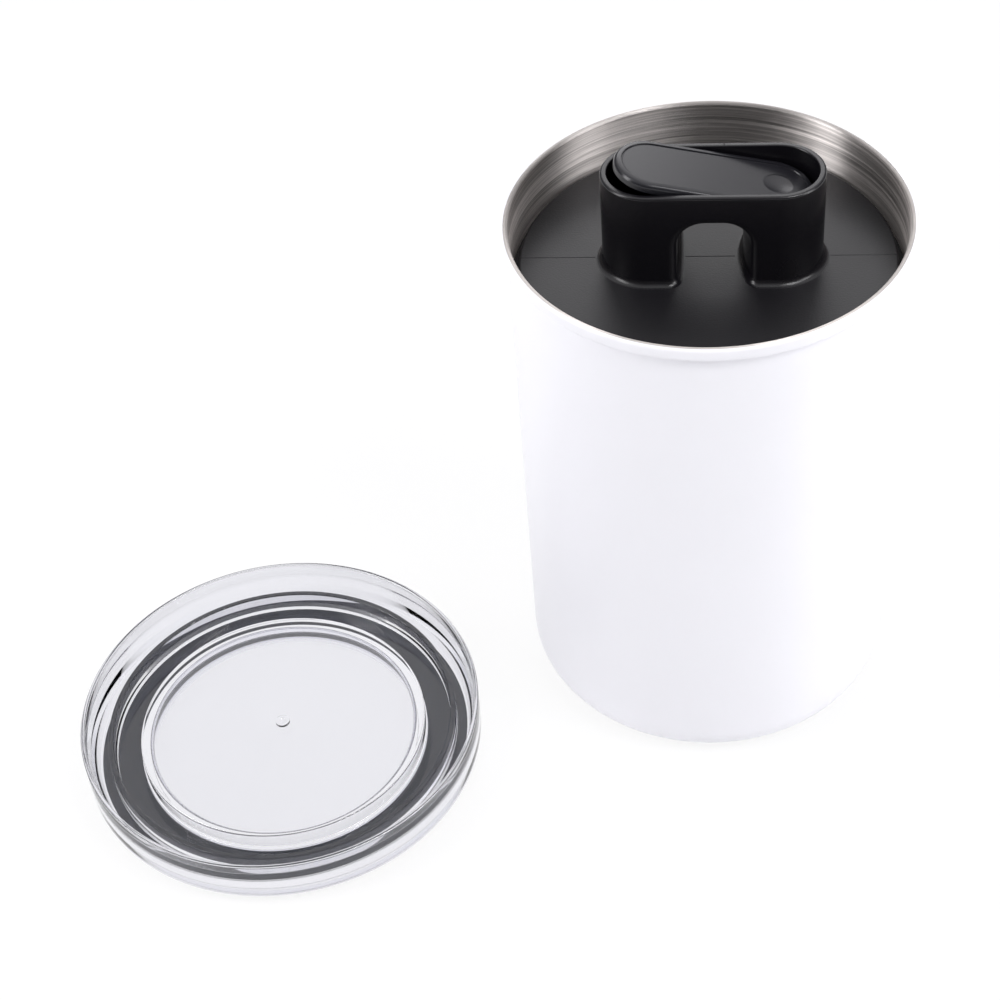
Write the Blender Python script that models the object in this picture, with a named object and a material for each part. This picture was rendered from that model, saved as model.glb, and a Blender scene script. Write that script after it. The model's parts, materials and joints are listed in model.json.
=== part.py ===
"""Coffee canister with a push-down plunger and a clear lid, at its real size.

The canister stands on z = 0 with its axis on Z. The plunger hangs just below the
mouth with its rocker lever tipped open, and the clear lid lies beside the canister.
Heights in a piece's outline are measured in that piece's own frame: the floor for
the canister and the lid, the top of the disc for the plunger, the pivot for the lever.
"""

import math

import bmesh
import bpy

MM = 0.001
DEGREE = math.pi / 180

# Fits and counts shared by all pieces
TOUCH_GAP = 0.3 * MM
CUT_OVERRUN = 1.5 * MM
WELD_DISTANCE = 0.001 * MM
ROUND_STEPS = 48
SMALL_ROUND_STEPS = 24
CORNER_STEPS = 6
SMOOTH_ANGLE = 35 * DEGREE

# Canister: a drawn steel can with a rolled lip and a wide round at the foot
CANISTER_HEIGHT = 180 * MM
CANISTER_BORE_RADIUS = 59.8 * MM
CANISTER_WALL = 0.6 * MM
CANISTER_FOOT_ROUND = 13 * MM
LIP_WIDTH = 2.2 * MM
LIP_HEIGHT = 4.4 * MM

# Plunger moulding: a disc with a skirt below and the handle above
PLUNGER_REST_DROP = 14.9 * MM
PLUNGER_DEPTH = 22 * MM
DISC_CLEARANCE = 2.4 * MM
DISC_THICKNESS = 2.2 * MM
DISC_EDGE_ROUND = 0.9 * MM
SKIRT_INSET = 1.4 * MM
SKIRT_WALL = 1.8 * MM

# Handle: a hollow bridge with half-round ends and a finger arch through it. The arch's
# right wall bows in to its middle, its left wall is almost flat.
HANDLE_OFFSET = 1.5 * MM
HANDLE_HALF_LENGTH = 33.2 * MM
HANDLE_HALF_WIDTH = 14.1 * MM
HANDLE_HEIGHT = 31.7 * MM
HANDLE_WALL = 2.1 * MM
HANDLE_EDGE_ROUND = 0.8 * MM
HANDLE_MOUTH_ROUND = 0.5 * MM
HANDLE_FOOT_FILLET = 2.2 * MM
HANDLE_FLOOR = 0.8 * MM
HANDLE_END_STEPS = 12
LEG_LENGTH = 23.5 * MM
LEFT_WALL_BOW = 300 * MM
RIGHT_WALL_BOW = 33 * MM
ARCH_OFFSET = -0.6 * MM
ARCH_CORNER_SHARE = 0.87
ARCH_EDGE_ROUND = 2.9 * MM
ARCH_EDGE_ANGLES = (90, 60, 35, 15)
ARCH_DEPTH_SHARES = (0.8, 0.4)

# Rocker lever: a plate that fills the handle's mouth and tips on two moulded stubs
LEVER_OPEN_ANGLE = 12 * DEGREE
LEVER_SINK = 0.9 * MM
LEVER_TOP = 3.2 * MM
LEVER_DEPTH = 3 * MM
LEVER_PLATE = 1.6 * MM
LEVER_WALL = 1.4 * MM
LEVER_EDGE_ROUND = 1 * MM
LEVER_BORDER = 0.4 * MM
LEVER_PANEL_DROP = 0.3 * MM
LEVER_SIDE_CLEARANCE = 0.4 * MM
LEVER_END_CLEARANCE = 1.1 * MM
PIVOT_RADIUS = 1.5 * MM
PIVOT_SOCKET_DEPTH = 1.3 * MM
PIVOT_LUG_RADIUS = 2.6 * MM
PIVOT_LUG_CLEARANCE = 1.4 * MM
DIMPLE_RADIUS = 4.5 * MM
DIMPLE_DEPTH = 0.4 * MM
DIMPLE_END_DISTANCE = 11 * MM
PAD_HALF_WIDTH = 3 * MM
PAD_DROP = 0.5 * MM

# Vent valve: a stem under the lever's thumb end, with its cap, spring and seal
STEM_END_DISTANCE = 8.5 * MM
STEM_RADIUS = 2 * MM
STEM_FOOT_RADIUS = 3.8 * MM
STEM_FOOT_THICKNESS = 1.2 * MM
STEM_SHOULDER_RADIUS = 3.1 * MM
STEM_SHOULDER_HEIGHT = 3 * MM
SLEEVE_WALL = 0.9 * MM
SLEEVE_HEIGHT = 6 * MM
CAP_RADIUS = 4.8 * MM
CAP_THICKNESS = 1.6 * MM
CAP_SOCKET_DEPTH = 4 * MM
CAP_SOCKET_WALL = 0.9 * MM
CAP_DOME_RADIUS = 6 * MM
CAP_BUTTON_RADIUS = 2.2 * MM
SPRING_WIRE_RADIUS = 0.4 * MM
SPRING_TURNS = 5.5
SPRING_POINTS_PER_TURN = 10
SPRING_END_SHARE = 0.12
SEAL_RADIUS = 8.6 * MM
SEAL_THICKNESS = 2 * MM
SEAL_LIP = 0.6 * MM

# Plunger base: the snap-in plate that closes the skirt and holds the wiper
BASE_THICKNESS = 2.2 * MM
BASE_EDGE_ROUND = 0.8 * MM
SPIGOT_WALL = 1.5 * MM
SPIGOT_HEIGHT = 6 * MM
PORT_RADIUS = 6.2 * MM
PORT_RECESS_DEPTH = 9 * MM
PORT_CEILING = 1.8 * MM
PORT_BOSS_WALL = 2 * MM

# Wiper: a silicone sleeve on the skirt with two fins that rub on the steel
WIPER_SLEEVE = 1 * MM
WIPER_FIN_ROOT = 1.3 * MM
WIPER_FIN_TIP = 0.7 * MM
WIPER_FIN_RISE = 0.9 * MM
WIPER_FIN_SHARES = (0.22, 0.78)

# Clear lid: a raised hub, a flat rim plate, a locating ring and an outer wall
LID_PLACE = (-143.5 * MM, -55.8 * MM)
LID_HEIGHT = 19.7 * MM
LID_WALL = 1.5 * MM
LID_OUTER_CORNER = 2.4 * MM
LID_INNER_CORNER = 1.6 * MM
LID_EDGE_ROUND = 0.6 * MM
LID_PLATE_UNDERSIDE = 3.2 * MM
LID_PLATE_THICKNESS = 2.8 * MM
LID_GASKET_WIDTH = 13.9 * MM
HUB_MOUTH_CLEARANCE = 11.3 * MM
HUB_HEIGHT = 11 * MM
HUB_WALL = 3 * MM
HUB_TOP = 2.4 * MM
HUB_EDGE_ROUND = 0.9 * MM
HUB_INNER_CORNER = 1.5 * MM
HUB_FOOT_LIP = 0.8 * MM
HUB_FOOT_LIP_HEIGHT = 0.4 * MM
RING_SPACING = 8.9 * MM
RING_WALL = 2 * MM
RING_CHANNEL = 6.4 * MM
RING_HEIGHT = 13.4 * MM
RING_EDGE_ROUND = 0.5 * MM
NUB_RADIUS = 2.1 * MM
NUB_HEIGHT = 0.5 * MM

# Sizes that follow from the ones above
CANISTER_RADIUS = CANISTER_BORE_RADIUS + CANISTER_WALL
DISC_RADIUS = CANISTER_BORE_RADIUS - DISC_CLEARANCE
SKIRT_RADIUS = DISC_RADIUS - SKIRT_INSET
PLUNGER_REST_HEIGHT = CANISTER_HEIGHT - PLUNGER_REST_DROP
SKIRT_BOTTOM = BASE_THICKNESS + TOUCH_GAP - PLUNGER_DEPTH
MOUTH_HALF_LENGTH = HANDLE_HALF_LENGTH - HANDLE_WALL
MOUTH_HALF_WIDTH = HANDLE_HALF_WIDTH - HANDLE_WALL
LEVER_HALF_LENGTH = MOUTH_HALF_LENGTH - LEVER_END_CLEARANCE
LEVER_HALF_WIDTH = MOUTH_HALF_WIDTH - LEVER_SIDE_CLEARANCE
LEVER_BOTTOM = LEVER_TOP - LEVER_DEPTH
LEVER_PANEL = LEVER_TOP - LEVER_PANEL_DROP
PIVOT_HEIGHT = HANDLE_HEIGHT - LEVER_SINK - LEVER_TOP
PIVOT_HALF_SPAN = MOUTH_HALF_WIDTH + PIVOT_SOCKET_DEPTH - TOUCH_GAP
ARCH_HALF_WIDTH = HANDLE_HALF_LENGTH - LEG_LENGTH
ARCH_CORNER_RADIUS = ARCH_HALF_WIDTH * ARCH_CORNER_SHARE
ARCH_HEIGHT = PIVOT_HEIGHT - PIVOT_LUG_RADIUS - PIVOT_LUG_CLEARANCE - HANDLE_WALL
STEM_PLACE = MOUTH_HALF_LENGTH - STEM_END_DISTANCE
STEM_BORE_RADIUS = STEM_RADIUS + TOUCH_GAP
SLEEVE_RADIUS = STEM_BORE_RADIUS + SLEEVE_WALL
SPRING_RADIUS = SLEEVE_RADIUS + TOUCH_GAP + SPRING_WIRE_RADIUS
HUB_RADIUS = CANISTER_BORE_RADIUS - HUB_MOUTH_CLEARANCE
RING_RADIUS = HUB_RADIUS + RING_SPACING + RING_WALL
LID_RADIUS = RING_RADIUS + RING_CHANNEL + LID_WALL


def cap_top_height(lever_angle):
    """Height of the stem cap's dome over the disc, just under the lever's pad."""
    pad_height = -STEM_PLACE * math.tan(lever_angle) - PAD_DROP / math.cos(lever_angle)
    dome_reach = (CAP_DOME_RADIUS + TOUCH_GAP) / math.cos(lever_angle) - CAP_DOME_RADIUS
    return PIVOT_HEIGHT + pad_height - dome_reach


# The valve is open when the lever is tipped, and hangs lower by the stem's travel
CAP_TOP = cap_top_height(LEVER_OPEN_ANGLE)
STEM_TRAVEL = cap_top_height(0) - CAP_TOP
SEAL_TOP = PORT_RECESS_DEPTH - PLUNGER_DEPTH - TOUCH_GAP - STEM_TRAVEL
STEM_FOOT_TOP = SEAL_TOP - SEAL_THICKNESS - TOUCH_GAP


def arc(centre_radius, centre_height, radius, start, end, steps=CORNER_STEPS):
    """Points of an arc in an outline, with angles in degrees from the outward axis."""
    points = []
    for step in range(steps + 1):
        angle = (start + (end - start) * step / steps) * DEGREE
        points.append((centre_radius + radius * math.cos(angle),
                       centre_height + radius * math.sin(angle)))
    return points


def stadium(half_length, half_width):
    """Outline of a plate with two half-round ends."""
    straight = half_length - half_width
    right = arc(straight, 0, half_width, -90, 90, HANDLE_END_STEPS)
    left = arc(-straight, 0, half_width, 90, 270, HANDLE_END_STEPS)
    return right + left


def level_ring(outline, height):
    """An outline laid flat at one height."""
    return [(x, y, height) for x, y in outline]


def upright_ring(outline, depth):
    """An outline stood up across the handle at one depth."""
    return [(x, depth, z) for x, z in outline]


def arch_depths():
    """Places across the handle, front to rear, where the arch's section is taken."""
    middle = HANDLE_HALF_WIDTH - ARCH_EDGE_ROUND
    depths = [middle + ARCH_EDGE_ROUND * math.sin(angle * DEGREE) for angle in ARCH_EDGE_ANGLES]
    depths += [middle * share for share in ARCH_DEPTH_SHARES]
    return [-depth for depth in depths] + [0] + depths[::-1]


def wall_curve(bow, depth):
    """Centre and radius of the curve that an arch wall follows at one depth.

    The wall is a shallow arc of the bow's radius, and a small round leads from it into the
    handle's front and rear. The centre is given from the wall's innermost point, outward.
    """
    middle = HANDLE_HALF_WIDTH - ARCH_EDGE_ROUND
    inner = bow - ARCH_EDGE_ROUND
    if abs(depth) <= bow * middle / inner:
        return bow, 0, bow
    return bow - math.sqrt(inner ** 2 - middle ** 2), math.copysign(middle, depth), ARCH_EDGE_ROUND


def wall_point(bow, depth, margin=0):
    """Where an arch wall stands at one depth, from its innermost point, thickened by a margin."""
    centre, centre_depth, radius = wall_curve(bow, depth)
    back = math.sqrt(max(0, radius ** 2 - (depth - centre_depth) ** 2))
    grow = 1 + margin / radius
    return centre - back * grow, centre_depth + (depth - centre_depth) * grow


def arch_outline(depth, margin=0):
    """The finger arch as seen from the front at one depth, widened all round by a margin."""
    over = max(0, abs(depth) - HANDLE_HALF_WIDTH + ARCH_EDGE_ROUND)
    flare = ARCH_EDGE_ROUND - math.sqrt(max(0, ARCH_EDGE_ROUND ** 2 - over ** 2))
    bottom = -DISC_THICKNESS / 2 - CUT_OVERRUN
    spring_height = ARCH_HEIGHT - ARCH_CORNER_RADIUS
    corner = ARCH_CORNER_RADIUS + flare + margin
    right = ARCH_HALF_WIDTH + wall_point(RIGHT_WALL_BOW, depth)[0] + margin
    left = ARCH_HALF_WIDTH + wall_point(LEFT_WALL_BOW, depth)[0] + margin
    outline = [(-left, bottom), (right, bottom)]
    outline += arc(right - corner, spring_height, corner, 0, 90)
    outline += arc(corner - left, spring_height, corner, 90, 180)
    return outline


def leg_outline(side, bow, margin):
    """Plan of one leg of the handle, grown outward by a margin."""
    inner = ARCH_HALF_WIDTH + side * ARCH_OFFSET
    outline = arc(HANDLE_HALF_LENGTH - HANDLE_HALF_WIDTH, 0, HANDLE_HALF_WIDTH + margin, -90, 90,
                  HANDLE_END_STEPS)
    for depth in arch_depths()[::-1]:
        reach, place = wall_point(bow, depth, margin)
        outline.append((inner + reach, place))
    return [(side * x, y) for x, y in outline]


def finish_object(name, mesh, material, parent, location=(0, 0, 0)):
    """Weld and close a mesh, shade it, and place it under its parent."""
    bmesh.ops.remove_doubles(mesh, verts=mesh.verts, dist=WELD_DISTANCE)
    bmesh.ops.recalc_face_normals(mesh, faces=mesh.faces)
    data = bpy.data.meshes.new(name)
    mesh.to_mesh(data)
    mesh.free()
    data.materials.append(material)
    data.shade_smooth()
    data.set_sharp_from_angle(angle=SMOOTH_ANGLE)
    piece = bpy.data.objects.new(name, data)
    bpy.context.collection.objects.link(piece)
    piece.parent = parent
    piece.location = location
    return piece


def turned(name, outline, material, parent, location=(0, 0, 0), steps=ROUND_STEPS):
    """A solid turned round Z from an outline of (radius, height) points."""
    mesh = bmesh.new()
    points = [mesh.verts.new((radius, 0, height)) for radius, height in outline]
    edges = [mesh.edges.new(pair) for pair in zip(points, points[1:])]
    if outline[0][0] > 0:
        edges.append(mesh.edges.new((points[-1], points[0])))
    bmesh.ops.spin(mesh, geom=points + edges, cent=(0, 0, 0), axis=(0, 0, 1),
                   angle=2 * math.pi, steps=steps, use_merge=True)
    return finish_object(name, mesh, material, parent, location)


def lofted(name, rings, material, parent, location=(0, 0, 0)):
    """A solid through rings of matching points, closed by a face at each end."""
    mesh = bmesh.new()
    loops = [[mesh.verts.new(point) for point in ring] for ring in rings]
    for low, high in zip(loops, loops[1:]):
        for index, corner in enumerate(low):
            mesh.faces.new((low[index - 1], corner, high[index], high[index - 1]))
    mesh.faces.new(loops[0])
    mesh.faces.new(loops[-1])
    return finish_object(name, mesh, material, parent, location)


def cylinder(name, radius, low, high, parent, location=(0, 0, 0)):
    """A plain round bar along Z, for a boss or a drilled hole."""
    outline = [(0, low), (radius, low), (radius, high), (0, high)]
    return turned(name, outline, guide_material, parent, location, SMALL_ROUND_STEPS)


def shape_with(piece, tool, operation):
    """Join a guide solid to a piece, or cut it out, with a modifier that stays live."""
    modifier = piece.modifiers.new(tool.name, "BOOLEAN")
    modifier.operation = operation
    modifier.object = tool
    modifier.solver = "EXACT"
    tool.hide_render = True
    tool.display_type = "WIRE"


def make_material(name, colour, roughness, metallic=0.0, alpha=1.0):
    """A plain shader with the finish of one real material."""
    material = bpy.data.materials.new(name)
    material.use_nodes = True
    shader = material.node_tree.nodes["Principled BSDF"]
    shader.inputs["Base Color"].default_value = (*colour, 1.0)
    shader.inputs["Roughness"].default_value = roughness
    shader.inputs["Metallic"].default_value = metallic
    shader.inputs["Alpha"].default_value = alpha
    return material


def make_frame(name, parent, location, tilt=0.0):
    """An empty that carries the pieces which move together on one axis."""
    frame = bpy.data.objects.new(name, None)
    bpy.context.collection.objects.link(frame)
    frame.parent = parent
    frame.location = location
    frame.rotation_euler = (0, tilt, 0)
    return frame


def make_canister():
    """Thin steel shell: flat foot, wide corner, straight wall and rolled lip."""
    corner_radius = CANISTER_RADIUS - CANISTER_FOOT_ROUND
    inner_round = CANISTER_FOOT_ROUND - CANISTER_WALL
    bead_round = LIP_WIDTH / 2
    bead_centre = CANISTER_BORE_RADIUS + bead_round
    bead_start = -math.degrees(math.acos((CANISTER_RADIUS - bead_centre) / bead_round))
    outline = [(0, 0)]
    outline += arc(corner_radius, CANISTER_FOOT_ROUND, CANISTER_FOOT_ROUND, -90, 0, 7)
    outline += arc(bead_centre, CANISTER_HEIGHT - LIP_HEIGHT + bead_round, bead_round, bead_start, 0, 4)
    outline += arc(bead_centre, CANISTER_HEIGHT - bead_round, bead_round, 0, 180, 8)
    outline += arc(corner_radius, CANISTER_FOOT_ROUND, inner_round, 0, -90, 7)
    outline += [(0, CANISTER_WALL)]
    turned("canister_body", outline, white_steel, None)


def make_handle(parent):
    """Hollow bridge of the plunger: two legs with filleted feet, and the finger arch."""
    centre = (HANDLE_OFFSET, 0, 0)
    root = DISC_THICKNESS / 2
    sections = [(0, -root)]
    sections += arc(-HANDLE_EDGE_ROUND, HANDLE_HEIGHT - HANDLE_EDGE_ROUND, HANDLE_EDGE_ROUND, 0, 90, 4)
    rings = [level_ring(stadium(HANDLE_HALF_LENGTH + offset, HANDLE_HALF_WIDTH + offset), height)
             for offset, height in sections]
    handle = lofted("handle_bridge", rings, black_plastic, parent, centre)

    arch_centre = (HANDLE_OFFSET + ARCH_OFFSET, 0, 0)
    depths = arch_depths()
    rings = [upright_ring(arch_outline(depth), depth) for depth in depths]
    rings.insert(0, upright_ring(arch_outline(depths[0]), depths[0] - CUT_OVERRUN))
    rings.append(upright_ring(arch_outline(depths[-1]), depths[-1] + CUT_OVERRUN))
    arch = lofted("finger_arch", rings, guide_material, parent, arch_centre)
    shape_with(handle, arch, "DIFFERENCE")

    sections = [(HANDLE_FOOT_FILLET, -root)]
    sections += [(HANDLE_FOOT_FILLET + offset, height) for offset, height in
                 arc(0, HANDLE_FOOT_FILLET, HANDLE_FOOT_FILLET, -90, -180, 4)]
    sections += [(-TOUCH_GAP, HANDLE_FOOT_FILLET)]
    for name, side, bow in (("left_foot", -1, LEFT_WALL_BOW), ("right_foot", 1, RIGHT_WALL_BOW)):
        rings = [level_ring(leg_outline(side, bow, offset), height) for offset, height in sections]
        shape_with(handle, lofted(name, rings, guide_material, parent, centre), "UNION")

    sections = [(0, HANDLE_FLOOR)]
    sections += [(HANDLE_MOUTH_ROUND + offset, height) for offset, height in
                 arc(0, HANDLE_HEIGHT - HANDLE_MOUTH_ROUND, HANDLE_MOUTH_ROUND, 180, 90, 3)]
    sections += [(HANDLE_MOUTH_ROUND, HANDLE_HEIGHT + CUT_OVERRUN)]
    rings = [level_ring(stadium(MOUTH_HALF_LENGTH + offset, MOUTH_HALF_WIDTH + offset), height)
             for offset, height in sections]
    pocket = lofted("handle_pocket", rings, guide_material, parent, centre)
    rings = [upright_ring(arch_outline(depth, HANDLE_WALL), depth) for depth in depths]
    casing = lofted("arch_casing", rings, guide_material, parent, arch_centre)
    shape_with(pocket, casing, "DIFFERENCE")
    shape_with(handle, pocket, "DIFFERENCE")

    socket = cylinder("pivot_socket", PIVOT_RADIUS + TOUCH_GAP,
                      -MOUTH_HALF_WIDTH - PIVOT_SOCKET_DEPTH, MOUTH_HALF_WIDTH + PIVOT_SOCKET_DEPTH,
                      parent, (HANDLE_OFFSET, 0, PIVOT_HEIGHT))
    socket.rotation_euler = (math.pi / 2, 0, 0)
    shape_with(handle, socket, "DIFFERENCE")
    return handle


def make_plunger_body(parent):
    """One moulding: the disc, its skirt and the handle, drilled for the valve stem."""
    inner = SKIRT_RADIUS - SKIRT_WALL
    outline = [(0, 0)]
    outline += arc(DISC_RADIUS - DISC_EDGE_ROUND, -DISC_EDGE_ROUND, DISC_EDGE_ROUND, 90, 0, 3)
    outline += [(DISC_RADIUS, -DISC_THICKNESS), (SKIRT_RADIUS, -DISC_THICKNESS),
                (SKIRT_RADIUS, SKIRT_BOTTOM), (inner, SKIRT_BOTTOM),
                (inner, -DISC_THICKNESS), (0, -DISC_THICKNESS)]
    body = turned("plunger_body", outline, black_plastic, parent)
    shape_with(body, make_handle(parent), "UNION")
    stem_centre = (HANDLE_OFFSET + STEM_PLACE, 0, 0)
    sleeve = cylinder("stem_sleeve", SLEEVE_RADIUS, -DISC_THICKNESS / 2, SLEEVE_HEIGHT,
                      parent, stem_centre)
    bore = cylinder("stem_bore", STEM_BORE_RADIUS, -DISC_THICKNESS - CUT_OVERRUN,
                    SLEEVE_HEIGHT + CUT_OVERRUN, parent, stem_centre)
    shape_with(body, sleeve, "UNION")
    shape_with(body, bore, "DIFFERENCE")


def make_plunger_base(parent):
    """Plate under the skirt, with a spigot inside it and the recessed vent port."""
    bottom = -PLUNGER_DEPTH
    top = bottom + BASE_THICKNESS
    spigot = SKIRT_RADIUS - SKIRT_WALL - TOUCH_GAP
    outline = [(0, bottom)]
    outline += arc(DISC_RADIUS - BASE_EDGE_ROUND, bottom + BASE_EDGE_ROUND, BASE_EDGE_ROUND, -90, 0, 3)
    outline += [(DISC_RADIUS, top), (spigot, top), (spigot, top + SPIGOT_HEIGHT),
                (spigot - SPIGOT_WALL, top + SPIGOT_HEIGHT), (spigot - SPIGOT_WALL, top), (0, top)]
    base = turned("plunger_base", outline, black_plastic, parent)
    centre = (HANDLE_OFFSET + STEM_PLACE, 0, 0)
    recess_radius = SEAL_RADIUS + 2 * TOUCH_GAP
    ceiling = bottom + PORT_RECESS_DEPTH
    boss = cylinder("port_boss", recess_radius + PORT_BOSS_WALL, bottom + BASE_THICKNESS / 2,
                    ceiling + PORT_CEILING, parent, centre)
    recess = cylinder("port_recess", recess_radius, bottom - CUT_OVERRUN, ceiling, parent, centre)
    port = cylinder("vent_port", PORT_RADIUS, bottom - CUT_OVERRUN,
                    ceiling + PORT_CEILING + CUT_OVERRUN, parent, centre)
    shape_with(base, boss, "UNION")
    shape_with(base, recess, "DIFFERENCE")
    shape_with(base, port, "DIFFERENCE")


def make_wiper(parent):
    """Silicone sleeve held between disc and base, with two upswept fins."""
    inner = SKIRT_RADIUS + TOUCH_GAP
    outer = inner + WIPER_SLEEVE
    tip = CANISTER_BORE_RADIUS - TOUCH_GAP
    top = -DISC_THICKNESS - TOUCH_GAP
    bottom = SKIRT_BOTTOM
    outline = [(inner, bottom), (inner, top), (outer, top)]
    for share in WIPER_FIN_SHARES:
        height = top + (bottom - top) * share
        outline += [(outer, height + WIPER_FIN_ROOT / 2),
                    (tip, height + WIPER_FIN_RISE + WIPER_FIN_TIP / 2),
                    (tip, height + WIPER_FIN_RISE - WIPER_FIN_TIP / 2),
                    (outer, height - WIPER_FIN_ROOT / 2)]
    outline += [(outer, bottom)]
    turned("plunger_wiper", outline, black_silicone, parent)


def make_lever(parent):
    """Rocker plate: raised border, hollow underside, pivot stubs and thumb dimple."""
    crest = LEVER_EDGE_ROUND + LEVER_BORDER
    sections = [(0, LEVER_BOTTOM)]
    sections += arc(-LEVER_EDGE_ROUND, LEVER_TOP - LEVER_EDGE_ROUND, LEVER_EDGE_ROUND, 0, 90, 4)
    sections += [(-crest, LEVER_TOP), (-crest - LEVER_PANEL_DROP, LEVER_PANEL)]
    rings = [level_ring(stadium(LEVER_HALF_LENGTH + offset, LEVER_HALF_WIDTH + offset), height)
             for offset, height in sections]
    lever = lofted("lever", rings, grey_plastic, parent)

    hollow = stadium(LEVER_HALF_LENGTH - LEVER_WALL, LEVER_HALF_WIDTH - LEVER_WALL)
    hollow_top = LEVER_TOP - LEVER_PLATE
    underside = lofted("lever_hollow", [level_ring(hollow, LEVER_BOTTOM - CUT_OVERRUN),
                                        level_ring(hollow, hollow_top)], guide_material, parent)
    shape_with(lever, underside, "DIFFERENCE")

    axle = cylinder("lever_axle", PIVOT_RADIUS, -PIVOT_HALF_SPAN, PIVOT_HALF_SPAN, parent)
    axle.rotation_euler = (math.pi / 2, 0, 0)
    shape_with(lever, axle, "UNION")
    lug_inset = LEVER_WALL + TOUCH_GAP
    for side, name in ((1, "lever_lug_rear"), (-1, "lever_lug_front")):
        middle = side * (LEVER_HALF_WIDTH - TOUCH_GAP - lug_inset / 2)
        lug = cylinder(name, PIVOT_LUG_RADIUS, -lug_inset / 2, lug_inset / 2, parent, (0, middle, 0))
        lug.rotation_euler = (math.pi / 2, 0, 0)
        shape_with(lever, lug, "UNION")

    pad_outline = [(STEM_PLACE - PAD_HALF_WIDTH, -PAD_HALF_WIDTH),
                   (STEM_PLACE + PAD_HALF_WIDTH, -PAD_HALF_WIDTH),
                   (STEM_PLACE + PAD_HALF_WIDTH, PAD_HALF_WIDTH),
                   (STEM_PLACE - PAD_HALF_WIDTH, PAD_HALF_WIDTH)]
    pad = lofted("lever_pad", [level_ring(pad_outline, -PAD_DROP),
                               level_ring(pad_outline, hollow_top + LEVER_PLATE / 2)],
                 guide_material, parent)
    shape_with(lever, pad, "UNION")

    dish_radius = (DIMPLE_RADIUS ** 2 + DIMPLE_DEPTH ** 2) / (2 * DIMPLE_DEPTH)
    dish_centre = LEVER_PANEL - DIMPLE_DEPTH + dish_radius
    dish_angle = math.degrees(math.asin(DIMPLE_RADIUS / dish_radius))
    outline = arc(0, dish_centre, dish_radius, -90, -90 + dish_angle, 4)
    outline += [(DIMPLE_RADIUS, LEVER_TOP + CUT_OVERRUN), (0, LEVER_TOP + CUT_OVERRUN)]
    place = (LEVER_HALF_LENGTH - DIMPLE_END_DISTANCE, 0, 0)
    dish = turned("thumb_dish", outline, guide_material, parent, place, SMALL_ROUND_STEPS)
    shape_with(lever, dish, "DIFFERENCE")


def make_valve_stem(parent):
    """Straight stem with a foot below the seal and a shoulder above it."""
    foot_bottom = STEM_FOOT_TOP - STEM_FOOT_THICKNESS
    shoulder = SEAL_TOP + TOUCH_GAP
    top = CAP_TOP - CAP_THICKNESS
    outline = [(0, foot_bottom), (STEM_FOOT_RADIUS, foot_bottom), (STEM_FOOT_RADIUS, STEM_FOOT_TOP),
               (STEM_RADIUS, STEM_FOOT_TOP), (STEM_RADIUS, shoulder), (STEM_SHOULDER_RADIUS, shoulder),
               (STEM_SHOULDER_RADIUS, shoulder + STEM_SHOULDER_HEIGHT),
               (STEM_RADIUS, shoulder + STEM_SHOULDER_HEIGHT), (STEM_RADIUS, top), (0, top)]
    turned("valve_stem", outline, white_plastic, parent, steps=SMALL_ROUND_STEPS)


def make_stem_cap(parent):
    """Push-on cap that the lever presses, with a domed button and a spring seat."""
    bore = STEM_RADIUS + TOUCH_GAP
    socket_top = CAP_TOP - CAP_THICKNESS + TOUCH_GAP
    flange_bottom = CAP_TOP - CAP_THICKNESS - CAP_SOCKET_WALL
    socket_bottom = socket_top - CAP_SOCKET_DEPTH
    edge_angle = math.degrees(math.asin(CAP_BUTTON_RADIUS / CAP_DOME_RADIUS))
    outline = arc(0, CAP_TOP - CAP_DOME_RADIUS, CAP_DOME_RADIUS, 90, 90 - edge_angle, 3)
    outline += [(CAP_BUTTON_RADIUS, CAP_TOP - CAP_THICKNESS / 2),
                (CAP_RADIUS, CAP_TOP - CAP_THICKNESS), (CAP_RADIUS, flange_bottom),
                (bore + CAP_SOCKET_WALL, flange_bottom), (bore + CAP_SOCKET_WALL, socket_bottom),
                (bore, socket_bottom), (bore, socket_top), (0, socket_top)]
    turned("stem_cap", outline, white_plastic, parent, steps=SMALL_ROUND_STEPS)


def make_valve_seal(parent):
    """Soft disc that shuts the vent port from below, with a raised sealing lip."""
    hole = STEM_RADIUS + TOUCH_GAP
    bottom = SEAL_TOP - SEAL_THICKNESS
    lip_inner = SEAL_RADIUS - 2 * SEAL_LIP
    outline = [(hole, bottom), (SEAL_RADIUS - SEAL_LIP, bottom), (SEAL_RADIUS, bottom + SEAL_LIP),
               (SEAL_RADIUS, SEAL_TOP), (lip_inner, SEAL_TOP), (lip_inner - SEAL_LIP, SEAL_TOP - SEAL_LIP),
               (STEM_SHOULDER_RADIUS + SEAL_LIP, SEAL_TOP - SEAL_LIP),
               (STEM_SHOULDER_RADIUS, SEAL_TOP), (hole, SEAL_TOP)]
    turned("valve_seal", outline, black_silicone, parent, steps=SMALL_ROUND_STEPS)


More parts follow.
